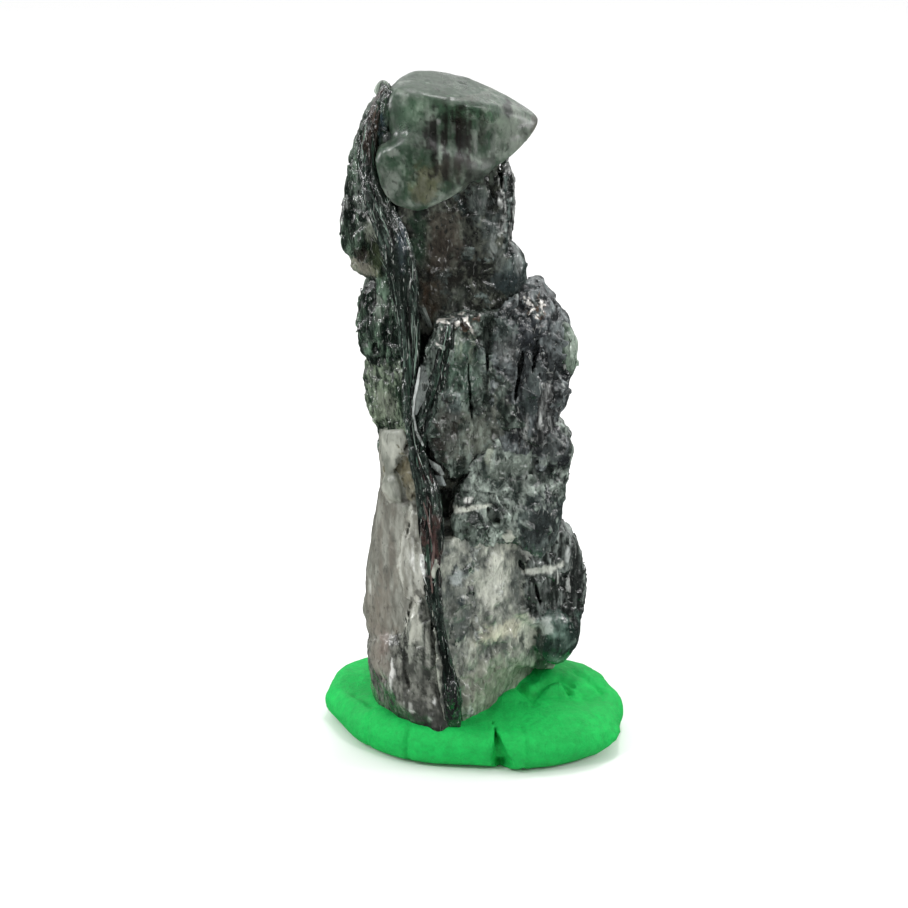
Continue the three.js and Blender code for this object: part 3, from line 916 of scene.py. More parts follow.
grow_crystals(
    "pale_blocks",
    blocks
    + studs(
        blocks, ["strip", "pale", "strip"], 12, (0.15, 0.35), 54, (-4.8, 12.8, -3.2, 19), stretch=2.8,
        flat=0.3,
    )
    + studs(
        blocks, ["hollow", "pale", "hollow"], 10, (0.15, 0.3), 49, (-5.2, 20.4, -4.2, 24), stretch=1.2,
        flat=0.5,
    )
    + studs(
        blocks, ["wood", "foot", "pale"], 16, (0.4, 0.9), 56, (-6.6, 6, -3.4, 22), stretch=2.5, flat=0.3,
        from_back=True,
    ),
    pale_rock,
    cuts=[
        fissure((-4.4, 19), (-5, 16.8), 0.12, -3.8),
        fissure((-3.6, 14), (-3, 12.6), 0.4, -3.8),
        fissure((-4.4, 12.8), (-5.4, 8.6), 0.1, -4.2),
        fissure((-5.3, 8.6), (-4.7, 5.6), 0.16, -4.8),
        fissure((-7.9, 8.5), (-7.2, 8.3), 0.16, -2),
    ],
    stains_and_painted_light=[
        ((-6.4, 14), (0.9, 6), (118, 112, 101), 0.5, STREAKY),
        ((-6.9, 10.4), (1, 3), (120, 112, 100), 0.4),
        ((-7, 7.4), (0.9, 1.8), (138, 132, 122), 0.6),
        ((-6.5, 8.2), (0.6, 0.9), (128, 112, 106), 0.35),
        # Painted highlights: this line and the next are bright glint streaks on the lower left.
        ((-6.2, 7), (0.25, 1.4), (200, 202, 196), 0.7, STREAKY),
        ((-6.4, 5.4), (0.15, 0.5), (210, 212, 206), 0.7, STREAKY),
        # Painted light: the lobe's paler, lit top.
        ((-4.3, 11), (0.7, 1.9), (186, 188, 176), 0.7, STREAKY),
        # Painted highlight: a glint at the lobe's tip.
        ((-4.2, 12.8), (0.3, 0.4), (214, 214, 202), 0.7),
        # Painted shade: the dark crease along the lobe's left side.
        ((-5, 7.2), (0.3, 1.7), (32, 34, 31), 0.8),
        # Painted highlight: light streaks along the lobe.
        ((-3.5, 9.6), (0.4, 1.6), (166, 168, 158), 0.6, STREAKY),
        # Painted shade: the darker bottom of the lobe.
        ((-4, 7.2), (0.9, 0.9), (78, 80, 75), 0.6),
        # Painted shade: the sole darker towards its bottom.
        ((-3.6, 3.6), (2.8, 1.5), (50, 52, 49), 0.75),
        # Painted shadow: the dark contact line where the sole meets the clay.
        ((-4.2, 2.4), (5, 0.9), (30, 32, 30), 0.85),
        # Painted highlights: this line and the four below are glints on the sole.
        ((-6.3, 6.6), (0.5, 1.5), (222, 224, 220), 0.5, STREAKY),
        ((-3.1, 3.9), (0.4, 0.4), (214, 216, 212), 0.6, STREAKY),
        ((-4.9, 4.4), (0.6, 0.3), (196, 198, 192), 0.6, STREAKY),
        ((-2.9, 5.1), (0.15, 0.4), (230, 232, 228), 0.8),
        ((-4.6, 4), (0.3, 0.12), (200, 202, 196), 0.7),
        # Painted highlights: this line and the next are glints along the strip's ridge.
        ((-4.3, 17), (0.35, 2), (196, 198, 190), 0.7, STREAKY),
        ((-3.6, 15.4), (0.7, 1.6), (238, 240, 236), 0.9, STREAKY),
        ((-4.8, 22.4), (0.45, 1.5), (100, 94, 70), 0.7),
        # Painted highlight: a glint in the cavity.
        ((-4.7, 23.5), (0.25, 0.4), (228, 230, 222), 0.9),
        ((-6, 24.6), (0.9, 0.5), (120, 124, 114), 0.5),
        # Painted highlight: a glint streak on the left edge.
        ((-7.5, 12.2), (0.25, 0.7), (196, 198, 190), 0.6, STREAKY),
    ],
)

# ---------------------------------------------------------------- the right side

neck = [
    Crystal("neck", [
        [-5, 34], [-5.4, 40], [-4.8, 43.6], [-3, 46.8], [0.6, 46.6], [1.7, 43.8], [2.2, 41.4],
        [2.4, 39.8], [2.3, 37.4], [2.6, 35.4], [2.6, 32.8], [-3.6, 32],
    ], -3.7, 1.2, slope=0.3, dome=0.3),
    Crystal("neck", [
        [-1, 43], [0.8, 43.2], [1.5, 40.2], [1.7, 37.6], [1, 37], [-0.2, 38.6],
    ], -3.45, 0, slope=0.35, dome=0.3, blend=0.6, melt=0.4),
    Faceted("plate", [
        [1.5, -2.9, 43.4], [2.1, -2.4, 43.6], [2.7, -2, 41.6], [2.7, -2, 40], [2.4, -2.4, 38.3],
        [1.9, -2.8, 38.4], [1.7, -2.9, 40.6], [2, -0.6, 43.6], [2.6, -0.8, 40], [2.2, -0.6, 38.4],
        [1.4, -0.6, 40],
    ]),
    Faceted("plate", [
        [1.3, -3.2, 42.6], [1.6, -3, 42.8], [1.9, -2.8, 39.2], [1.5, -3.1, 38.6], [1.3, 0, 42.8],
        [1.8, 0, 38.6],
    ]),
    Crystal("lobe", [
        [1.4, 36.6], [2.2, 37.7], [2.9, 37.2], [3.35, 36.2], [3.35, 34.8], [2.7, 33.8], [1.2, 34.6],
    ], -2.6, 1, slope=0.4, dome=0.9),
]
grow_crystals(
    "neck",
    neck
    + studs(neck, ["neck", "lobe"], 12, (0.3, 0.7), 57, (-4, 33.5, 2.2, 41), stretch=1.3, flat=0.2)
    + studs(
        neck, ["plate", "plate", "lobe"], 10, (0.12, 0.25), 58, (1.5, 36.4, 2.4, 43), stretch=5, flat=1.2,
        lean=0.08,
    )
    + studs(
        neck, ["neck", "column", "plate"], 30, (0.3, 0.7), 59, (-5, 34, 2.4, 45), stretch=2.5,
        from_back=True,
    ),
    dusky_rock,
    cuts=[fissure((0.9, 43.6), (1.1, 41.2), 0.26, -2.6), fissure((1.5, 43.6), (1.7, 41.6), 0.24, -2.2)],
    stains_and_painted_light=[
        ((0.4, 42.6), (0.9, 1.2), (98, 108, 98), 0.6, STREAKY),
        ((0.2, 41), (0.7, 1.8), (66, 73, 70), 0.7),
        ((0.8, 39.2), (0.8, 1.8), (60, 67, 65), 0.7),
        ((1.1, 38.1), (0.3, 0.8), (110, 116, 112), 0.7),
        ((1.6, 36.6), (0.5, 1), (84, 90, 86), 0.6),
        ((-2.2, 38.6), (1.3, 2.4), (58, 52, 45), 0.6),
        ((-3, 35), (0.9, 1.6), (48, 36, 24), 0.6),
        ((-3.9, 39), (0.7, 2.6), (24, 42, 30), 0.7),
        ((1.8, 35.4), (1.3, 1), (38, 46, 47), 0.7),
        ((2.9, 36.6), (0.3, 0.8), (120, 124, 122), 0.5),
        ((2.2, 40.8), (0.5, 2.6), (178, 182, 178), 0.5, STREAKY),
        ((-1.6, 34.8), (1.6, 1), (30, 36, 32), 0.5),
        ((-2, 36.6), (1.8, 1.8), (40, 36, 32), 0.4),
    ],
)

broad = [
    Crystal("mottle", [
        [-2.6, 33.2], [-0.6, 33.7], [1.8, 33.4], [2.2, 28], [1.6, 22.6], [-1.6, 21.8], [-3.4, 25],
        [-3.5, 30.2],
    ], -4.6, 0.8, slope=0.5),
    Crystal("smoky", [
        [1.4, 33.4], [3, 34.6], [4.4, 34.8], [5.4, 33.6], [6.6, 31.9], [7, 29.8], [6.4, 26.4],
        [5.5, 24.4], [4.2, 23], [2, 22.6], [1, 28],
    ], -3, 1, slope=0.5, dome=0.8),
    Crystal("ridged", [
        [3.3, 27.6], [4.6, 28.4], [6, 27.6], [5.9, 25.6], [5, 24], [4.2, 23], [3.2, 24.4],
    ], -3.1, 0.5, slope=0.5),
    Crystal("smoky", [
        [1, 32.6], [2.8, 33], [3.6, 30.8], [2.6, 28.8], [1, 29.6],
    ], -3.6, 0, slope=0.4, dome=0.9, blend=0.7),
]
grow_crystals(
    "broad_block",
    broad
    + [
        Crystal("quartz", [
            [2.7, 28], [3.2, 28.4], [3.6, 27.8], [3.4, 26.2], [2.9, 26.2],
        ], -3.4, -1, slope=0.5),
    ]
    + studs(
        broad, ["mottle", "mottle", "lobe"], 22, (0.4, 0.9), 61, (-3, 22.6, 2, 32), stretch=2, flat=0.25,
    )
    + studs(
        broad, ["smoky", "smoky", "slate"], 18, (0.4, 0.9), 62, (1.6, 23.6, 5.8, 32.6), stretch=2,
        flat=0.25,
    )
    + studs(
        broad, ["glint", "glint", "brown"], 46, (0.09, 0.22), 63, (-2.5, 31.8, 0.2, 33.5), stretch=1.4,
        lean=0.5,
    )
    + studs(
        broad, ["glint", "brown", "glint", "flaky"], 34, (0.1, 0.24), 64, (3, 33, 4.7, 34.7), stretch=1.3,
        lean=0.6,
    )
    + studs(
        broad, ["mottle", "smoky", "column"], 40, (0.3, 0.9), 65, (-3, 23, 5.6, 33), stretch=2.2,
        from_back=True,
    ),
    rock,
    cuts=[
        fissure((0.6, 33.2), (0.8, 29.4), 0.3, -3.2),
        fissure((3.2, 30.6), (2.7, 27.4), 0.36, -1.8),
        fissure((4.2, 31.2), (3.9, 29), 0.18, -1.8),
        fissure((-0.6, 30.4), (-0.2, 25.2), 0.14, -3.4),
    ],
    stains_and_painted_light=[
        ((-0.9, 29.8), (1.3, 2), (74, 98, 82), 0.45),
        ((-0.6, 31.4), (0.7, 1.2), (132, 142, 124), 0.45, STREAKY),
        ((-1.9, 25.4), (0.9, 2.4), (46, 40, 36), 0.6),
        ((0.3, 24.8), (1.4, 1.8), (104, 108, 98), 0.5),
        ((1.6, 27), (0.7, 1.6), (128, 132, 122), 0.5, STREAKY),
        ((3.9, 31.8), (1.2, 1.2), (34, 37, 42), 0.6),
        ((2, 30.8), (0.9, 1.2), (84, 88, 86), 0.6),
        ((4.8, 29), (1.2, 1), (36, 40, 40), 0.5),
    ],
)

rim = [
    Crystal("clear", [
        [5.2, 32.8], [6.5, 32], [7.25, 30.4], [7.25, 28.9], [6.6, 27.8], [5.2, 28.2],
    ], -1.8, -0.1, slope=0.3, dome=1),
]
grow_crystals(
    "rim", rim, lens_rock,
    stains_and_painted_light=[
        ((5.9, 30.6), (0.5, 1.6), (60, 84, 66), 0.6),
        ((6.9, 28.3), (0.9, 0.6), (60, 78, 66), 0.6),
        ((6.3, 32), (0.8, 0.5), (54, 70, 60), 0.6),
    ],
)

waist = [
    Crystal("waist", [
        [2.4, 25], [5.9, 24.8], [6.9, 23.2], [7, 21.8], [6.5, 19.4], [6, 16.8], [3, 15.8], [0.4, 16.8],
        [-0.8, 19.6], [-0.6, 22.8],
    ], -3.2, 1.6, slope=0.5, dome=0.8),
    Crystal("mottle", [
        [-1.5, 20.6], [-0.9, 21.5], [0.6, 21.3], [1, 19.6], [0.6, 16], [-1.5, 16.2], [-1.8, 18.6],
    ], -4.7, 0, slope=0.5, dome=0.8, blend=0.5),
    Crystal("lobe", [
        [3.4, 19.9], [5.2, 20.2], [6.3, 18.6], [6, 16], [4.8, 14.8], [3.2, 15.8], [2.8, 18],
    ], -3.2, 1, slope=0.4, dome=0.9, blend=0.8),
    Crystal("smoky", [
        [4.2, 24.9], [5.8, 24.6], [6.7, 23.2], [6.6, 21.2], [4.6, 21.6], [3.8, 23.2],
    ], -2.6, 1, slope=0.5, blend=0.6),
    Crystal("neck", [
        [-3.2, 24.4], [-1.6, 24], [-0.6, 22], [-1.2, 20.2], [-2.8, 20.6],
    ], -3.8, 0, slope=0.5),
]
grow_crystals(
    "waist",
    waist
    + [
        Crystal("quartz", [
            [1.7, 18.7], [3, 18.6], [3.2, 17.4], [3, 16.2], [1.8, 16.6],
        ], -3.4, 0, slope=0.5),
    ]
    + studs(
        waist, ["waist", "waist", "mottle"], 22, (0.3, 0.7), 66, (-1.2, 16.8, 6, 24), stretch=1.3,
        flat=0.3, lean=0.35,
    )
    + studs(
        waist, ["waist", "column"], 26, (0.3, 0.9), 68, (-1, 16.8, 6, 24), stretch=1.8, from_back=True,
    ),
    rock,
    cuts=[fissure((0.9, 19.3), (1.7, 18), 0.8, -2.2), fissure((-0.4, 22.4), (-1.6, 21.2), 0.4, -3)],
    stains_and_painted_light=[
        ((-0.6, 20.3), (0.4, 0.25), (230, 232, 226), 0.8),
        ((-0.3, 19.6), (1.3, 0.22), (196, 200, 188), 0.8),
        ((0.9, 23.4), (0.35, 1), (160, 168, 150), 0.6),
        ((5.4, 23.4), (1.2, 1.2), (84, 90, 88), 0.5),
        ((-1.4, 22.4), (0.9, 1), (26, 30, 28), 0.7),
        ((4.6, 17.4), (1.2, 2), (44, 48, 48), 0.5),
        ((2.4, 22.4), (2.2, 1.2), (120, 130, 120), 0.4),
        ((3.4, 21), (1.6, 0.8), (116, 122, 116), 0.4, STREAKY),
    ],
)

foot = [
    Crystal("quartz", [
        [-2.8, 17.4], [0.6, 18], [3.6, 17.6], [6.2, 16.4], [6.6, 11], [6.8, 6], [5.4, 2.2], [0, 1.4],
        [-2.2, 1.4], [-2.8, 8], [-3.2, 13.6],
    ], -3.2, 2.2, slope=0.72, dome=0.5),
    Crystal("crumb", [
        [-2.4, 16.2], [-0.8, 16.6], [0.2, 14.6], [0, 11], [-1, 8.6], [-2.2, 9.4], [-2.7, 13],
    ], -4.7, 0, slope=0.7, dome=1, blend=0.8),
    Crystal("mottle", [
        [-2.2, 9.6], [-0.8, 9.8], [0.6, 7.6], [1, 4.2], [0, 2.6], [-1.6, 2.4], [-2.2, 5.2],
    ], -4.8, 0, slope=0.8, dome=0.8, blend=0.8),
    Crystal("flaky", [
        [6, 16.6], [7.2, 15.2], [8, 13.6], [8.35, 11.8], [8.15, 9], [7.7, 6.4], [6.6, 5.6], [5, 6.6],
        [3.7, 10.8], [3.4, 13], [3.6, 16],
    ], -1.2, 2.6, slope=0.6, dome=1, blend=0.6, melt=0.4),
    Crystal("ball", [
        [4.8, 9.6], [6, 10.4], [7.2, 9.8], [7.9, 8.6], [7.8, 7], [7.1, 5.9], [6.1, 5.5], [5.1, 6],
        [4.6, 7.2],
    ], -2.3, 2, slope=0.45, dome=1.3, blend=1),
]
grow_crystals(
    "foot_block",
    foot
    + studs(
        foot, ["quartz", "quartz", "crumb"], 18, (0.4, 0.9), 71, (-2.2, 3.4, 4, 16.6), stretch=1.4,
        flat=0.25, lean=0.2,
    )
    + studs(
        foot, ["crumb", "mottle", "plate"], 14, (0.15, 0.4), 75, (-2.2, 9.6, -0.2, 16), stretch=1.6,
        flat=0.4, lean=0.2,
    )
    + studs(
        foot, ["flaky", "plate"], 12, (0.15, 0.35), 72, (5.4, 9, 7.2, 13.2), stretch=2.6, flat=0.4,
        lean=0.15,
    )
    + studs(
        foot, ["quartz", "column", "waist"], 36, (0.4, 1), 73, (-2, 3, 6.4, 15), stretch=1.8,
        from_back=True,
    ),
    grey_rock, slices=[Slice((2.1, -2.2, 3.4), (0.75, -0.6, -0.22), 8.4, 0.75)],
    cuts=[fissure((3.2, 14.4), (3.6, 13.4), 0.4, -0.6), fissure((4.4, 12.4), (4.9, 10.4), 0.25, -0.6)],
    stains_and_painted_light=[
        ((2, 9.4), (2, 1), (194, 192, 170), 0.65),
        ((1.4, 13.4), (1, 2.6), (204, 206, 194), 0.5),
        ((1, 11.4), (0.9, 1.2), (160, 162, 152), 0.5, STREAKY),
        ((-1.5, 12.6), (1.2, 4.4), (58, 65, 63), 0.6),
        ((0.5, 15.8), (0.5, 1.2), (96, 102, 96), 0.6, STREAKY),
        ((-1.2, 14.7), (0.7, 0.7), (166, 174, 172), 0.7),
        ((-0.9, 10.4), (0.9, 1), (70, 76, 74), 0.6),
        ((2.9, 12.4), (0.5, 2), (72, 77, 74), 0.6),
        ((-0.9, 12.8), (0.45, 0.5), (30, 40, 42), 0.9),
        ((2.6, 16.2), (0.7, 1), (196, 200, 184), 0.7),
        ((3.9, 15), (0.5, 0.5), (222, 224, 216), 0.8),
        ((4.9, 13.5), (1.5, 0.35), (190, 194, 184), 0.85),
        ((4.2, 15.4), (0.8, 0.8), (150, 156, 148), 0.6),
        ((6, 12.6), (0.2, 0.9), (180, 184, 178), 0.7, STREAKY),
        ((4.6, 11.6), (1.1, 1.2), (64, 69, 66), 0.7),
        ((4.1, 8.4), (0.5, 1.2), (214, 216, 200), 0.7),
        ((6.8, 14.2), (0.2, 0.6), (190, 196, 192), 0.7),
        ((7.6, 11.4), (0.8, 4), (24, 27, 26), 0.8),
        ((0.8, 5.6), (2.2, 2.4), (120, 124, 110), 0.7),
        ((3, 5), (1.8, 1.4), (112, 120, 104), 0.6),
        ((3.9, 8.8), (0.6, 1.3), (190, 194, 182), 0.6),
        # Painted light: the ball's lit upper left.
        ((5, 9.2), (0.7, 0.6), (170, 180, 172), 0.8),
        ((6, 7.2), (1.2, 1.1), (32, 50, 42), 0.45),
        # Painted shade: the ball's dark bottom.
        ((5.4, 5.3), (1.4, 0.5), (40, 52, 44), 0.85),
    ],
)

# ---------------------------------------------------------------- the core and the back

back = [
    Crystal("column", [
        [-5.2, 20], [-6, 34], [-5.6, 45.2], [-1, 46], [1, 41], [3.2, 32], [4.4, 20], [4.4, 11],
        [1.4, 1.4], [-5, 1.4],
    ], -1.6, 3.2, dome=0.3),
    Column("column", [-4.6, 3, 1.4], [-5.6, 2, 40.6], 2, 0.3),
    Column("mottle", [-1.6, 3.4, 1.4], [-3, 2.2, 45.4], 2.2, 0.9),
    Column("column", [1.5, 3.5, 1.4], [0, 2, 41.6], 2, 0.1),
    Column("mottle", [4.2, 3.6, 1.4], [3.8, 1.2, 31.6], 2, 0.6),
    Column("wood", [-5.4, 1.4, 1.4], [-5.4, 1, 23.4], 1.6, 0.2),
    Column("mottle", [-6.9, 2.2, 1.4], [-7.1, 1.4, 13.5], 1, 0.4),
    Column("column", [-6.8, 1.8, 10], [-5.8, 1.4, 20.5], 0.8, 0.2),
    Column("waist", [0.2, 4.4, 1.4], [0.4, 2.4, 25], 1.6, 0.5),
]
grow_crystals(
    "back_columns",
    back
    + studs(
        back, ["column", "mottle", "quartz", "lens"], 60, (0.3, 0.8), 74, (-6, 4, 5, 43), stretch=3,
        flat=0.4, lean=0.05, from_back=True,
    ),
    rock, voxel=BACK_VOXEL,
)

# ---------------------------------------------------------------- the clear crystal on top

cap = [
    Faceted("cap", [
        [-3.9, -0.2, 49.7], [-1.6, 0, 49.5], [0.4, -0.1, 48.85], [2.6, -0.4, 47.75], [4.6, -1.3, 46.4],
        [4.55, -2, 46], [-5.2, -0.9, 49.1], [-6, -1.6, 48.6], [-6.4, -2.8, 47.7], [-6.5, -3.4, 46.8],
        [-6.1, -3.7, 45.7], [-5.4, -3.9, 48.9], [-6, -4.2, 47.6], [-3.2, -4.6, 48.6], [-1.2, -4.8, 48.2],
        [1.2, -4.3, 47.75], [2.9, -3.3, 47.1], [-5.5, -4.2, 44.9], [-5.5, 0.3, 47.8], [-5.5, 0.4, 45.6],
        [-4.6, -5, 44.6], [-0.9, -4.7, 42.8], [1.5, -3.9, 43.1], [3.7, -2.8, 44.8], [-3.4, 1.9, 46.6],
        [-0.4, 2, 46], [2, 1, 46], [-3.6, 0.6, 44], [1.2, 0.4, 43.6], [3.3, -0.6, 44.8],
    ], bevel=0.7),
    Crystal("cap", [
        [-5.4, 45.3], [-6.3, 45], [-6.65, 44.3], [-6.5, 43.3], [-6.05, 41.9], [-5.5, 41.2], [-4.7, 40.9],
        [-3.7, 40.7], [-2.6, 40.75], [-1.7, 41.5], [0.6, 42.4], [0.6, 43.4], [-2.4, 44.8], [-4.2, 45.6],
    ], -5.1, 1, slope=0.1, dome=0.6, blend=0.6, melt=0.9),
    Crystal("cap", [
        [-1.4, 43.6], [-0.6, 43.8], [-0.7, 42.2], [-1.1, 41.8],
    ], -4.2, -2, dome=0.4, melt=0.6),
    Crystal("cap", [[-0.3, 44], [0.5, 44], [0.3, 42.5], [0, 42.3]], -4, -2, dome=0.4, melt=0.6),
]
grow_crystals(
    "cap", cap, cap_rock,
    stains_and_painted_light=[
        ((-3.2, 42.6), (1.1, 1.5), (158, 152, 108), 0.6),
        ((-4.8, 47.2), (0.8, 1.3), (66, 100, 74), 0.45),
        ((-3.9, 48.3), (0.7, 0.5), (150, 166, 150), 0.5),
        ((-2.3, 48.6), (0.8, 0.4), (70, 92, 74), 0.5),
        ((-1.4, 45.3), (2.3, 2.6), (38, 30, 26), 0.9, STREAKY),
        ((-2.8, 45.6), (0.3, 2.3), (30, 26, 22), 0.95),
        ((-2.1, 45.2), (0.25, 2.6), (38, 30, 26), 0.9),
        ((-1.2, 45), (0.28, 2.6), (42, 33, 29), 0.9),
        ((-0.5, 44.8), (0.2, 2.5), (48, 39, 35), 0.85),
        ((-1, 43.6), (1.6, 0.9), (96, 92, 82), 0.5),
        ((0.3, 45.6), (0.2, 1.6), (84, 84, 74), 0.6),
        # Painted shade: the whole top face darkened against the light that falls on it.
        ((-1.5, 49), (4.6, 1.1), (94, 120, 96), 0.8),
        ((-2.2, 49.1), (1.4, 0.6), (150, 166, 150), 0.5),
        ((-4.9, 46.4), (1, 2.2), (92, 118, 98), 0.6),
        ((0.2, 43.2), (1.2, 0.9), (92, 104, 94), 0.6),
        ((-0.4, 42.5), (1.4, 0.7), (62, 66, 60), 0.7, STREAKY),
        ((0.2, 48), (1.5, 0.16), (190, 198, 184), 0.5),
        ((2.4, 45.9), (1.6, 1.9), (192, 204, 188), 0.8),
        ((1, 44.6), (0.8, 1.4), (140, 152, 140), 0.6, STREAKY),
        ((4.1, 46.2), (0.6, 0.8), (128, 118, 110), 0.7),
        ((2, 47.1), (0.32, 0.6), (44, 54, 46), 0.95),
        # Painted highlights: this line and the next are glints near the beak's tip.
        ((3, 46), (0.6, 0.26), (252, 254, 250), 1),
        ((2.6, 45.3), (0.45, 0.22), (226, 232, 224), 0.9),
        # Painted highlights: this line and the next are a bright upright glint and a bright dash.
        ((-0.1, 44.9), (0.14, 0.9), (206, 216, 204), 0.9),
        ((-2.5, 46.6), (0.12, 0.25), (226, 230, 224), 0.9),
        # Painted highlight: a glint where the lobe begins.
        ((-5.4, 44.7), (0.5, 0.25), (206, 218, 204), 0.8),
    ],
)


def sealed(solids, piece, skin=0.03):
    """Whether the box round a small piece lies inside the solids, below their skin."""
    x, y, z = np.meshgrid(*zip(*piece.reach()))
    return joined_distance(solids, x, y, z).max() < -skin


NEEDLE_SEED = 8
NEEDLES = 60
GRAINS = 60

# How high a needle's end or a grain's middle may be, and how far back the face in front of each may be.
INCLUSION_TOP = 46.6
NEEDLE_FACE = -3.6
GRAIN_FACE = -3.0


def make_needles():
    """Dark needles sealed in the clear crystal, close behind its front face, and paler grains deeper."""
    random = np.random.default_rng(NEEDLE_SEED)
    sunk = []
    for _ in range(NEEDLES):
        x, z = random.uniform(-3.2, 0.2), random.normal(45.0, 1.0)
        y = face_depth(cap, x, z)
        half = (random.uniform(0.05, 0.15), random.uniform(0.04, 0.10), random.uniform(0.4, 1.5))
        z = min(z, INCLUSION_TOP - half[2])
        piece = chip("heart", (x, (y or 0) + random.uniform(0.10, 0.6), z), half, random, 0.04)
        if y is not None and y < NEEDLE_FACE and sealed(cap, piece):
            sunk.append(piece)
    for _ in range(GRAINS):
        x, z = random.uniform(-5.6, 2.4), random.uniform(42.0, INCLUSION_TOP)
        y = face_depth(cap, x, z)
        wide = random.uniform(0.08, 0.3)
        look = ("green", "ball", "cap", "pale")[random.integers(4)]
        centre = (x, (y or 0) + random.uniform(0.5, 2.0), z)
        piece = chip(look, centre, (wide, wide, wide * 1.5), random, 0.5)
        if y is not None and y < GRAIN_FACE and sealed(cap, piece):
            sunk.append(piece)
    grow_crystals("cap_inclusions", sunk, blade_rock, raw=True)


make_needles()

# ---------------------------------------------------------------- the spine and its branch

# Rows are [x, y, z, half width, half depth].
SPINE_ROUTE = [
    [-5.9, -2.8, 48.5, 0.15, 0.3], [-6.6, -3.2, 47, 0.4, 0.5], [-7, -3.5, 45.4, 0.45, 0.6],
    [-7.1, -3.7, 43.4, 0.6, 0.7], [-6.5, -4.2, 41.4, 0.9, 0.8], [-5.6, -4.5, 39.2, 1.1, 0.9],
    [-5, -4.6, 37, 1, 0.9], [-4.7, -4.6, 34.4, 0.85, 0.9], [-4.5, -4.8, 30.8, 0.6, 0.8],
    [-4.5, -4.9, 27.4, 0.45, 0.8], [-4.2, -5, 24.6, 0.45, 0.8], [-3.4, -5, 21.4, 0.75, 0.9],
    [-3.1, -5.2, 18.2, 0.8, 0.9], [-2.9, -5.5, 14.6, 0.6, 0.9], [-2.6, -5.7, 11.4, 0.35, 0.8],
    [-2.1, -5.8, 8.8, 0.35, 0.8], [-1.7, -5.8, 6, 0.55, 0.8], [-1.5, -5, 3, 0.6, 0.8],
]
BRANCH_ROUTE = [
    [-1.9, -4.8, 33.2, 0.3, 0.5], [-2.2, -5, 31.6, 0.6, 0.7], [-2.9, -5.2, 28.6, 0.7, 0.7],
    [-3.6, -5.3, 25.8, 0.45, 0.6], [-4, -5, 23.4, 0.2, 0.5],
]


# Points on a smoothed route for each of its rows.
ROUTE_STEPS = 6


def spline(route, places):
    """Points on a smooth curve through the route's points, at places from 0 to 1."""
    route = np.array(route, float)
    padded = np.vstack([2 * route[0] - route[1], route, 2 * route[-1] - route[-2]])
    t = np.clip(places, 0, 1) * (len(route) - 1)
    first = np.minimum(t.astype(int), len(route) - 2)
    u = (t - first)[:, None]
    a, b, c, d = (padded[first + i] for i in range(4))
    square = 2 * a - 5 * b + 4 * c - d
    cube = 3 * b - a - 3 * c + d
    return 0.5 * (2 * b + (c - a) * u + square * u ** 2 + cube * u ** 3)


def smooth_route(route):
    return spline(route, np.linspace(0, 1, ROUTE_STEPS * len(route)))


# A blade's cross sections along its length, and its greatest half thickness.
RINGS = 8
THICKEST = 0.06


def blade(route, random, width, length, colours):
    """A thin four-sided blade lying along a stretch of a route, just outside its ridge."""
    span = random.uniform(*length) / (route[0][2] - route[-1][2])
    start = random.uniform(-0.3 * span, 1 - 0.7 * span)
    places = np.clip(np.linspace(start, start + span, RINGS), 0, 1)
    line = spline(route, places)
    angle = random.uniform(-1.5, 1.5)
    out = random.uniform(0.80, 0.94) + 0.08 * np.linspace(-1, 1, RINGS) ** 2 * random.uniform(-1, 1)
    centre = line[:, :3].copy()
    drift = random.normal(0, 0.15) * np.linspace(-1, 1, RINGS)
    centre[:, 0] += line[:, 3] * (out * math.sin(angle) + drift)
    centre[:, 1] -= line[:, 4] * out * math.cos(angle)
    half = random.uniform(*width) / 2
    thin = min(THICKEST, half * 0.6)
    turn = angle + random.normal(0, 0.35)
    across = np.array([math.cos(turn), math.sin(turn), 0])
    outward = np.array([math.sin(turn), -math.cos(turn), 0])
    ends = np.minimum(np.linspace(0.1, 5, RINGS), np.linspace(5, 0.1, RINGS))
    taper = np.minimum(1, ends)[:, None]
    points = np.stack([
        centre + across * half * taper, centre + outward * thin * taper, centre - across * half * taper,
        centre - outward * thin * taper,
    ], 1).reshape(-1, 3)
    faces = []
    for ring in range(RINGS - 1):
        for side in range(4):
            a, b = 4 * ring + side, 4 * ring + (side + 1) % 4
            faces += [(a, b, b + 4), (a, b + 4, a + 4)]
    last = 4 * RINGS - 4
    faces += [(0, 2, 1), (0, 3, 2), (last, last + 1, last + 2), (last, last + 2, last + 3)]
    shade = linear(*colours[int(len(colours) * random.random() ** 1.6)]) * random.uniform(0.6, 1.5)
    tint = np.tile((*shade, random.uniform(0.08, 0.25)), (len(points), 1))
    return points, np.array(faces), tint


def join_parts(name, parts, material):
    """One flat-shaded piece from many small (points, faces, tint) parts."""
    counts = np.cumsum([0] + [len(part[0]) for part in parts])
    points = np.vstack([part[0] for part in parts])
    faces = np.vstack([part[1] + count for part, count in zip(parts, counts)])
    piece = make_mesh(name, points, faces)
    piece.data.polygons.foreach_set("use_smooth", np.zeros(len(piece.data.polygons), bool))
    paint(piece, np.vstack([part[2] for part in parts]))
    claim(piece, CLUSTER, material)


SHADES = [(8, 14, 11), (14, 25, 19), (30, 44, 36), (64, 86, 74), (108, 128, 116)]
BROWN = [(26, 20, 17), (48, 38, 32), (64, 54, 46)]
FIBRES = [(96, 112, 102), (132, 146, 136), (168, 178, 170)]
REDDISH = [(56, 43, 42), (84, 68, 64), (34, 28, 28)]

BLADE_SEED = 3

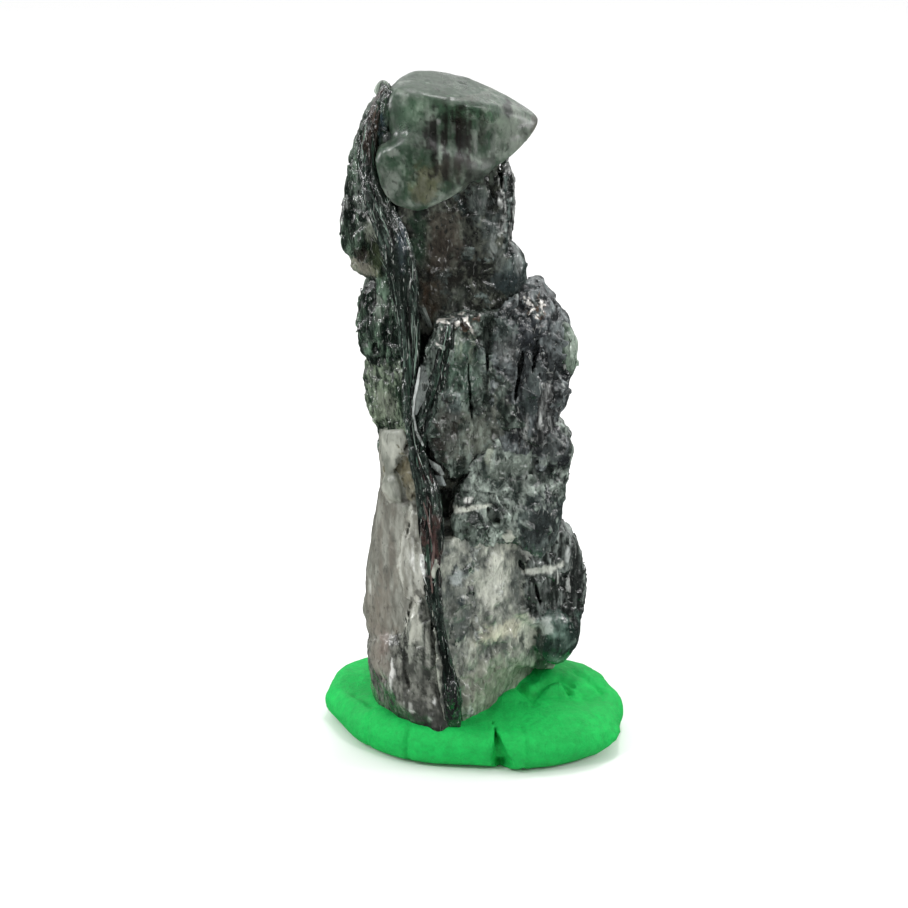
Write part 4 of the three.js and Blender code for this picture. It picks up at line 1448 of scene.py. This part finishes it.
# Sets of blades: the route, how many, the least and greatest width and length, and their colours.
BLADE_SETS = [
    (SPINE_ROUTE, 280, (0.06, 0.30), (1.5, 6.0), SHADES),
    (SPINE_ROUTE[14:], 60, (0.10, 0.35), (1.5, 5.0), SHADES[:2]),
    (SPINE_ROUTE[10:15], 70, (0.08, 0.35), (1.5, 5.0), REDDISH),
    (SPINE_ROUTE[:4], 40, (0.08, 0.25), (1.0, 3.0), BROWN),
    (SPINE_ROUTE[:14], 170, (0.04, 0.10), (1.0, 4.5), FIBRES),
    (BRANCH_ROUTE, 70, (0.06, 0.30), (1.5, 5.0), SHADES),
]


def make_spine():
    spine = smooth_route(SPINE_ROUTE)
    branch = smooth_route(BRANCH_ROUTE)
    grow_crystals("spine", [Ridge("blade", spine)], blade_rock, follow=spine, stains_and_painted_light=[
        ((-6.7, 46.6), (0.9, 2.4), (46, 36, 30), 0.8),
        ((-4.9, 39.4), (0.4, 2.2), (50, 58, 64), 0.9),
        ((-6.2, 41.6), (0.9, 2.6), (22, 28, 24), 0.6),
        ((-5.2, 36.8), (0.9, 2.6), (20, 28, 23), 0.5),
        ((-3.1, 17.6), (0.7, 2.6), (70, 52, 49), 0.8),
        ((-1.8, 5.6), (0.8, 3.4), (28, 30, 30), 0.8),
    ])
    grow_crystals("branch", [Ridge("blade", branch)], blade_rock, follow=branch)
    random = np.random.default_rng(BLADE_SEED)
    blades = []
    for route, count, width, length, colours in BLADE_SETS:
        blades += [blade(route, random, width, length, colours) for _ in range(count)]
    join_parts("spine_blades", blades, blade_rock)


make_spine()

# ---------------------------------------------------------------- flakes, and a plate for a painted glint

FLAKE_ROUGHNESS = 0.22


def flake(outline, thickness, bow, shade):
    """A thin plate through [x, y, z] corners, bowed a little in the middle."""
    ring = np.array(outline, float)
    middle = ring.mean(0)
    normal = np.cross(ring[1] - ring[0], ring[2] - ring[0])
    normal /= np.linalg.norm(normal)
    if normal[1] > 0:
        normal = -normal
    half = normal * thickness / 2
    count = len(ring)
    centres = [middle + half + normal * bow, middle - half + normal * bow]
    points = np.vstack([ring + half, ring - half, centres])
    faces = []
    for i in range(count):
        j = (i + 1) % count
        faces += [(2 * count, i, j), (2 * count + 1, count + j, count + i)]
        faces += [(i, count + i, count + j), (i, count + j, j)]
    faces = np.array(faces)
    corners = points[faces] - middle
    if (np.cross(corners[:, 0], corners[:, 1]) * corners[:, 2]).sum() < 0:
        faces = faces[:, ::-1]
    tint = np.tile((*linear(*shade), FLAKE_ROUGHNESS), (len(points), 1))
    return points, faces, tint


join_parts(
    "flakes_and_glint",
    [
        flake([
            [-3.72, -5.75, 30.5], [-3.45, -5.7, 30.4], [-3.2, -5.7, 29.2], [-3.45, -5.75, 28.2],
            [-4.05, -5.75, 27], [-4.2, -5.75, 27], [-4.05, -5.75, 28.4], [-3.8, -5.75, 29.4],
        ], 0.3, 0, (92, 98, 95)),
        flake([
            [-3.8, -5.75, 30.4], [-3.7, -5.8, 30.3], [-3.85, -5.85, 29.2], [-4.15, -5.9, 27.9],
            [-4.22, -5.9, 26.8], [-4.3, -5.85, 27], [-4.22, -5.85, 28.2],
        ], 0.2, 0, (160, 165, 162)),
        flake([
            [-4.28, -5.85, 26.9], [-4.18, -5.85, 26.9], [-4, -5.85, 25.9], [-3.55, -5.75, 24.8],
            [-3.65, -5.75, 24.7], [-4.15, -5.85, 25.8],
        ], 0.2, 0, (150, 156, 152)),
        flake([
            [-3.1, -5.6, 23.6], [-2.6, -5.1, 23.1], [-2.3, -4.7, 22.3], [-2.5, -4.9, 22.3],
            [-2.9, -5.4, 22.9],
        ], 0.5, 0, (112, 117, 114)),
        flake([
            [-2.7, -5.2, 22.3], [-2.5, -4.9, 22.2], [-2.25, -4.6, 21.4], [-2.4, -4.8, 21.4],
        ], 0.5, 0, (104, 110, 108)),
        flake([
            [-3.8, -4.7, 34.2], [-3.6, -4.5, 34.2], [-3.1, -4.1, 32.7], [-3.2, -4.2, 32.7],
        ], 0.5, 0, (80, 86, 82)),
        # Painted highlight: a near-white plate that stands for a glint on the spine's left edge.
        flake([
            [-3.75, -5.65, 16.6], [-3.6, -5.8, 15.9], [-3.4, -5.9, 15], [-3.3, -5.95, 14.4],
            [-3.55, -5.8, 15], [-3.75, -5.65, 15.7],
        ], 0.3, 0, (196, 199, 195)),
    ],
    dusky_rock,
)

# ---------------------------------------------------------------- the clay

PAD_OUTLINE = [
    [-11.4, 0.9], [-10.3, -1.2], [-8.7, -3.8], [-6.1, -5.9], [-3.2, -6.9], [0, -7.2], [3.4, -7.6],
    [6.1, -7], [8.4, -5.4], [10.4, -3.1], [11.3, -0.4], [10.3, 2], [7.6, 4.9], [3.4, 6.8], [-2, 7.7],
    [-7.2, 6.8], [-10.4, 4.4],
]

# Cuts in the clay: two ends in plan, the width at each, and how low the cut goes.
CLAY_CUTS = [((1.2, -4.6), (1.5, -6.3), 0.05, 0.35, 1.9), ((1.5, -6.3), (1.8, -8.6), 0.35, 2.3, -1)]

# Soft creases in the clay: two ends in plan, the depth and the width.
CLAY_CREASES = [
    ((1.8, -2), (3.2, -1.3), 0.25, 0.35),
    ((3.2, -1.3), (4.2, -2.2), 0.32, 0.32),
    ((4.2, -2.2), (5.5, -0.9), 0.34, 0.34),
    ((5.5, -0.9), (6.4, -0.6), 0.34, 0.3),
    ((6.4, -0.6), (7, -1.6), 0.3, 0.2),
    ((6.4, -0.6), (7.4, -0.9), 0.3, 0.2),
    ((4, -2.4), (4.5, -3.7), 0.2, 0.2),
    ((-9, -0.6), (-7.6, -2.6), 0.2, 0.3),
    ((-4.8, -5.9), (-5.4, -8.6), 0.22, 0.14),
    ((-3, -7), (-3.3, -8.4), 0.14, 0.12),
    ((-7.6, -3.8), (-8.3, -5.8), 0.14, 0.12),
    ((3.4, -6), (3.8, -8.4), 0.15, 0.12),
    ((7.6, 0.4), (9.4, -0.6), 0.15, 0.3),
]

# Finger dents and the fold between foot and roll: each is a ball's middle and its radii.
CLAY_HOLLOWS = [((4.2, -0.5, 6), (1.8, 1.2, 2.1)), ((-8.6, 0.4, 4.6), (2.4, 2.6, 1.9))]


# The pad's rounded rim and its height, in millimetres, and how many points its outline has.
RIM = 1.35
HEIGHT = 2.9
PAD_POINTS = 120

CLAY_COLOUR = (24, 188, 84)
# The deeper green of the painted shade in the fold.
FOLD_SHADE_COLOUR = (4, 160, 68)
DIRT_COLOUR = (92, 150, 62)


def clay_cut(points, start, end, start_width, end_width, floor):
    """Distance to a gash between two places in plan: negative inside. It leans, and narrows upwards."""
    start, end = np.array(start), np.array(end)
    way = end - start
    flat = points[:, :2] - start
    part = np.clip(flat @ way / (way @ way), 0, 1)
    flat[:, 0] -= np.interp(points[:, 2], (0.4, 3.0), (0.35, 0))
    width = start_width + (end_width - start_width) * part
    width *= np.interp(points[:, 2], (0.4, 3.0), (1.2, 0.30))
    ragged = np.minimum(0.14, 0.5 * width) * fine_noise.layers(points, (0.9, 0.9, 0.6), 3)
    gap = np.hypot(*(flat - part[:, None] * way).T) + ragged
    return np.maximum(gap - width / 2, floor - points[:, 2])


def clay_crease(points, start, end, depth, width):
    """How far a soft crease between two places in plan sinks the clay."""
    start, end = np.array(start), np.array(end)
    way = end - start
    flat = points[:, :2] - start + 0.12 * fine_noise.layers(points, 0.9, 2)[:, None]
    part = np.clip(flat @ way / (way @ way), 0, 1)
    gap = np.hypot(*(flat - part[:, None] * way).T)
    return depth * np.exp(-(gap / width) ** 2)


def outline_distance(outline, x, y):
    """Distance to a closed outline in plan: negative inside."""
    best = np.full(np.broadcast(x, y).shape, np.inf, np.float32)
    inside = np.zeros(best.shape, bool)
    for (ax, ay), (bx, by) in zip(outline, np.roll(outline, -1, axis=0)):
        ex, ey = bx - ax, by - ay
        t = np.clip(((x - ax) * ex + (y - ay) * ey) / (ex * ex + ey * ey), 0, 1)
        best = np.minimum(best, (x - ax - t * ex) ** 2 + (y - ay - t * ey) ** 2)
        if ey:
            inside ^= ((ay > y) != (by > y)) & (x < ax + (y - ay) * ex / ey)
    return np.where(inside, -1, 1) * np.sqrt(best)


def clay_material():
    material, tree, shader = new_material("modelling_clay")
    place = add_place(tree)
    shade = add_range(tree, add_noise(tree, place, 1.6, 9.0, 0.8), 0.74, 1.24)
    feed(shader, {
        "Base Color": add_vector_math(tree, "SCALE", add_tint(tree)["Color"], shade),
        "Roughness": add_range(tree, add_noise(tree, place, 0.8), 0.42, 0.58),
        "Specular IOR Level": 0.2,
    })
    add_relief(tree, shader, 0.16, {"Height": add_noise(tree, place, 3.0, 6.0, 0.7)})
    return material


def make_clay():
    low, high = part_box(CLAY)
    low = np.array(low) / MM - (0.8, 0.8, 0.6)
    high = np.array(high) / MM + (0.8, 0.8, 1.2)
    field = Field(low, high, CLAY_VOXEL)
    x, y, z = field.spans()
    ring = spline(PAD_OUTLINE + PAD_OUTLINE[:1], np.linspace(0, 1, PAD_POINTS + 1)[:-1])
    plan = outline_distance(ring, x[:, :, 0], y[:, :, 0])[:, :, None]
    flat = np.abs(z - HEIGHT / 2) - (HEIGHT / 2 - RIM)
    side = plan + RIM
    pad = np.hypot(np.maximum(side, 0), np.maximum(flat, 0)) + np.minimum(np.maximum(side, flat), 0) - RIM

    def ball(centre, radii):
        gap = np.sqrt(sum(((a - c) / r) ** 2 for a, c, r in zip((x, y, z), centre, radii)))
        return (gap - 1) * min(radii)

    roll = ball((5.4, 0.7, 2.3), (4.8, 3.3, 2.15))
    front = ball((5.6, -4.0, 1.7), (5.0, 3.0, 1.9))
    bank = ball((2.5, -1.4, 2.2), (2.0, 2.3, 1.75))
    lip = ball((3.1, -6.4, 1.5), (1.5, 1.4, 1.35))
    total = soft_min(soft_min(soft_min(pad, front, 0.8), lip, 0.5), bank, 0.6)
    total = soft_min(total, roll, 0.18)
    field.distance[:] = total
    index, places = field.near()
    swell = 0.14 * broad_noise.layers(places, 3.4, 2) + 0.03 * fine_noise.layers(places, 0.6, 3, 0.7)
    on_top = ramp(places[:, 2], 0.2, 0.8)
    distance = field.distance[index] - swell * on_top
    for place, radii in CLAY_HOLLOWS:
        pocket = np.sqrt((((places - place) / radii) ** 2).sum(1)) - 1
        distance = soft_max(distance, -pocket * min(radii), 0.5)
    distance += np.max([clay_crease(places, *crease) for crease in CLAY_CREASES], axis=0)
    for cut in CLAY_CUTS:
        distance = np.maximum(distance, -clay_cut(places, *cut))
    field.distance[index] = distance
    field.distance = np.maximum(field.distance, -z + 0 * field.distance)
    points, quads = field.surface()
    piece = make_mesh("clay_pad", points, quads)
    shade = 1 + 0.10 * patch_noise.layers(points, 1.8, 3)
    # Darker towards the right: painted shade.
    shade *= 1 - 0.12 * ramp(points[:, 0], -2, 6)
    colour = linear(*CLAY_COLOUR)[None, :] * shade[:, None]
    # Painted shade: the fold between the foot and the roll darkened to a deeper green.
    fold_shade = ramp(1 - np.linalg.norm((points - (3.9, 0.4, 3.2)) / (3.4, 2.2, 1.8), axis=1), 0, 0.6)
    colour += (linear(*FOLD_SHADE_COLOUR) - colour) * fold_shade[:, None] * 0.8
    dirt = ramp(1 - np.linalg.norm((points - (5.2, -6.6, 1.0)) / (1.2, 1.0, 0.8), axis=1), 0, 1)
    dirt *= ramp(patch_noise.layers(points, 0.5, 3), -0.2, 0.6)
    colour += (linear(*DIRT_COLOUR) - colour) * dirt[:, None] * 0.7
    paint(piece, np.hstack([colour, np.ones((len(colour), 1))]))
    claim(piece, CLAY, clay_material())


make_clay()

# ---------------------------------------------------------------- stage, light and camera

# The brightness of the sky, and half the floor's side in millimetres.
SKY = 1.2
FLOOR_HALF = 1500.0
FLOOR_COLOUR = (0.92, 0.92, 0.92, 1)

# The camera's lens and sensor in millimetres, its downward pitch in degrees, and its nearest distance
# and its place in metres.
LENS = 71.4
SENSOR = 36
LOOK_DOWN = 21
NEAR_CLIP = 0.005
CAMERA_PLACE = (-0.0015, -0.1206, 0.0682)

# Lamps are square. Each row is a name, a place in metres and watts.
LAMP_SIZE = 0.05
LAMP_AIM = np.array([0, 0, 0.025])
LAMPS = [
    ("left_front", (-0.22, -0.18, 0.30), 0.35),
    ("right_front", (0.20, -0.22, 0.26), 0.30),
    ("top", (0.03, 0.06, 0.42), 0.35),
    ("left", (-0.36, 0.02, 0.12), 0.30),
    ("right", (0.36, -0.02, 0.15), 0.30),
]


def make_floor():
    material, _, shader = new_material("white_table")
    feed(shader, {"Base Color": FLOOR_COLOUR, "Roughness": 0.6, "Specular IOR Level": 0.1})
    side = FLOOR_HALF
    corners = np.array([[-side, -side, 0], [side, -side, 0], [side, side, 0], [-side, side, 0]])
    floor = make_mesh("white_table", corners, np.array([[0, 1, 2, 3]]))
    floor.data.materials.append(material)
    floor.visible_glossy = False


def make_world():
    """A white sky with a dim patch on the viewer's side, and dark below: gloss shows both."""
    world = bpy.data.worlds.new("white_room")
    bpy.context.scene.world = world
    world.use_nodes = True
    tree = world.node_tree
    place = tree.nodes.new("ShaderNodeTexCoord").outputs["Generated"]
    parts = feed(tree.nodes.new("ShaderNodeSeparateXYZ"), {"Vector": place})
    rise = add_range(tree, parts.outputs["Z"], 0.04, 1.0, -0.05, 0.25)
    facing = add_vector_math(tree, "DOT_PRODUCT", place, (0, -0.94, 0.34), "Value")
    away = add_range(tree, facing, SKY, 0.12 * SKY, 0.50, 0.90)
    product = add_math(tree, "MULTIPLY", rise, away)
    camera_ray = tree.nodes.new("ShaderNodeLightPath").outputs["Is Camera Ray"]
    seen = add_math(tree, "MAXIMUM", camera_ray, product)
    feed(tree.nodes["Background"], {"Strength": seen, "Color": (1, 1, 1, 1)})


def add_lamp(name, place, watts):
    """A small square lamp that faces the cluster's middle."""
    light = bpy.data.lights.new(name, "AREA")
    light.energy = watts
    light.size = LAMP_SIZE
    lamp = bpy.data.objects.new(name, light)
    bpy.context.scene.collection.objects.link(lamp)
    lamp.location = place
    x, y, z = LAMP_AIM - np.array(place)
    lamp.rotation_euler = (math.atan2(math.hypot(x, y), -z), 0, math.atan2(x, -y) + math.pi)


def add_camera():
    camera = bpy.data.cameras.new("camera")
    camera.sensor_width = SENSOR
    camera.lens = LENS
    camera.clip_start = NEAR_CLIP
    holder = bpy.data.objects.new("camera", camera)
    bpy.context.scene.collection.objects.link(holder)
    holder.location = CAMERA_PLACE
    holder.rotation_euler = (math.radians(90 - LOOK_DOWN), 0, 0)
    bpy.context.scene.camera = holder


make_floor()
make_world()
for lamp_row in LAMPS:
    add_lamp(*lamp_row)
add_camera()
bpy.context.scene.view_settings.view_transform = "Standard"
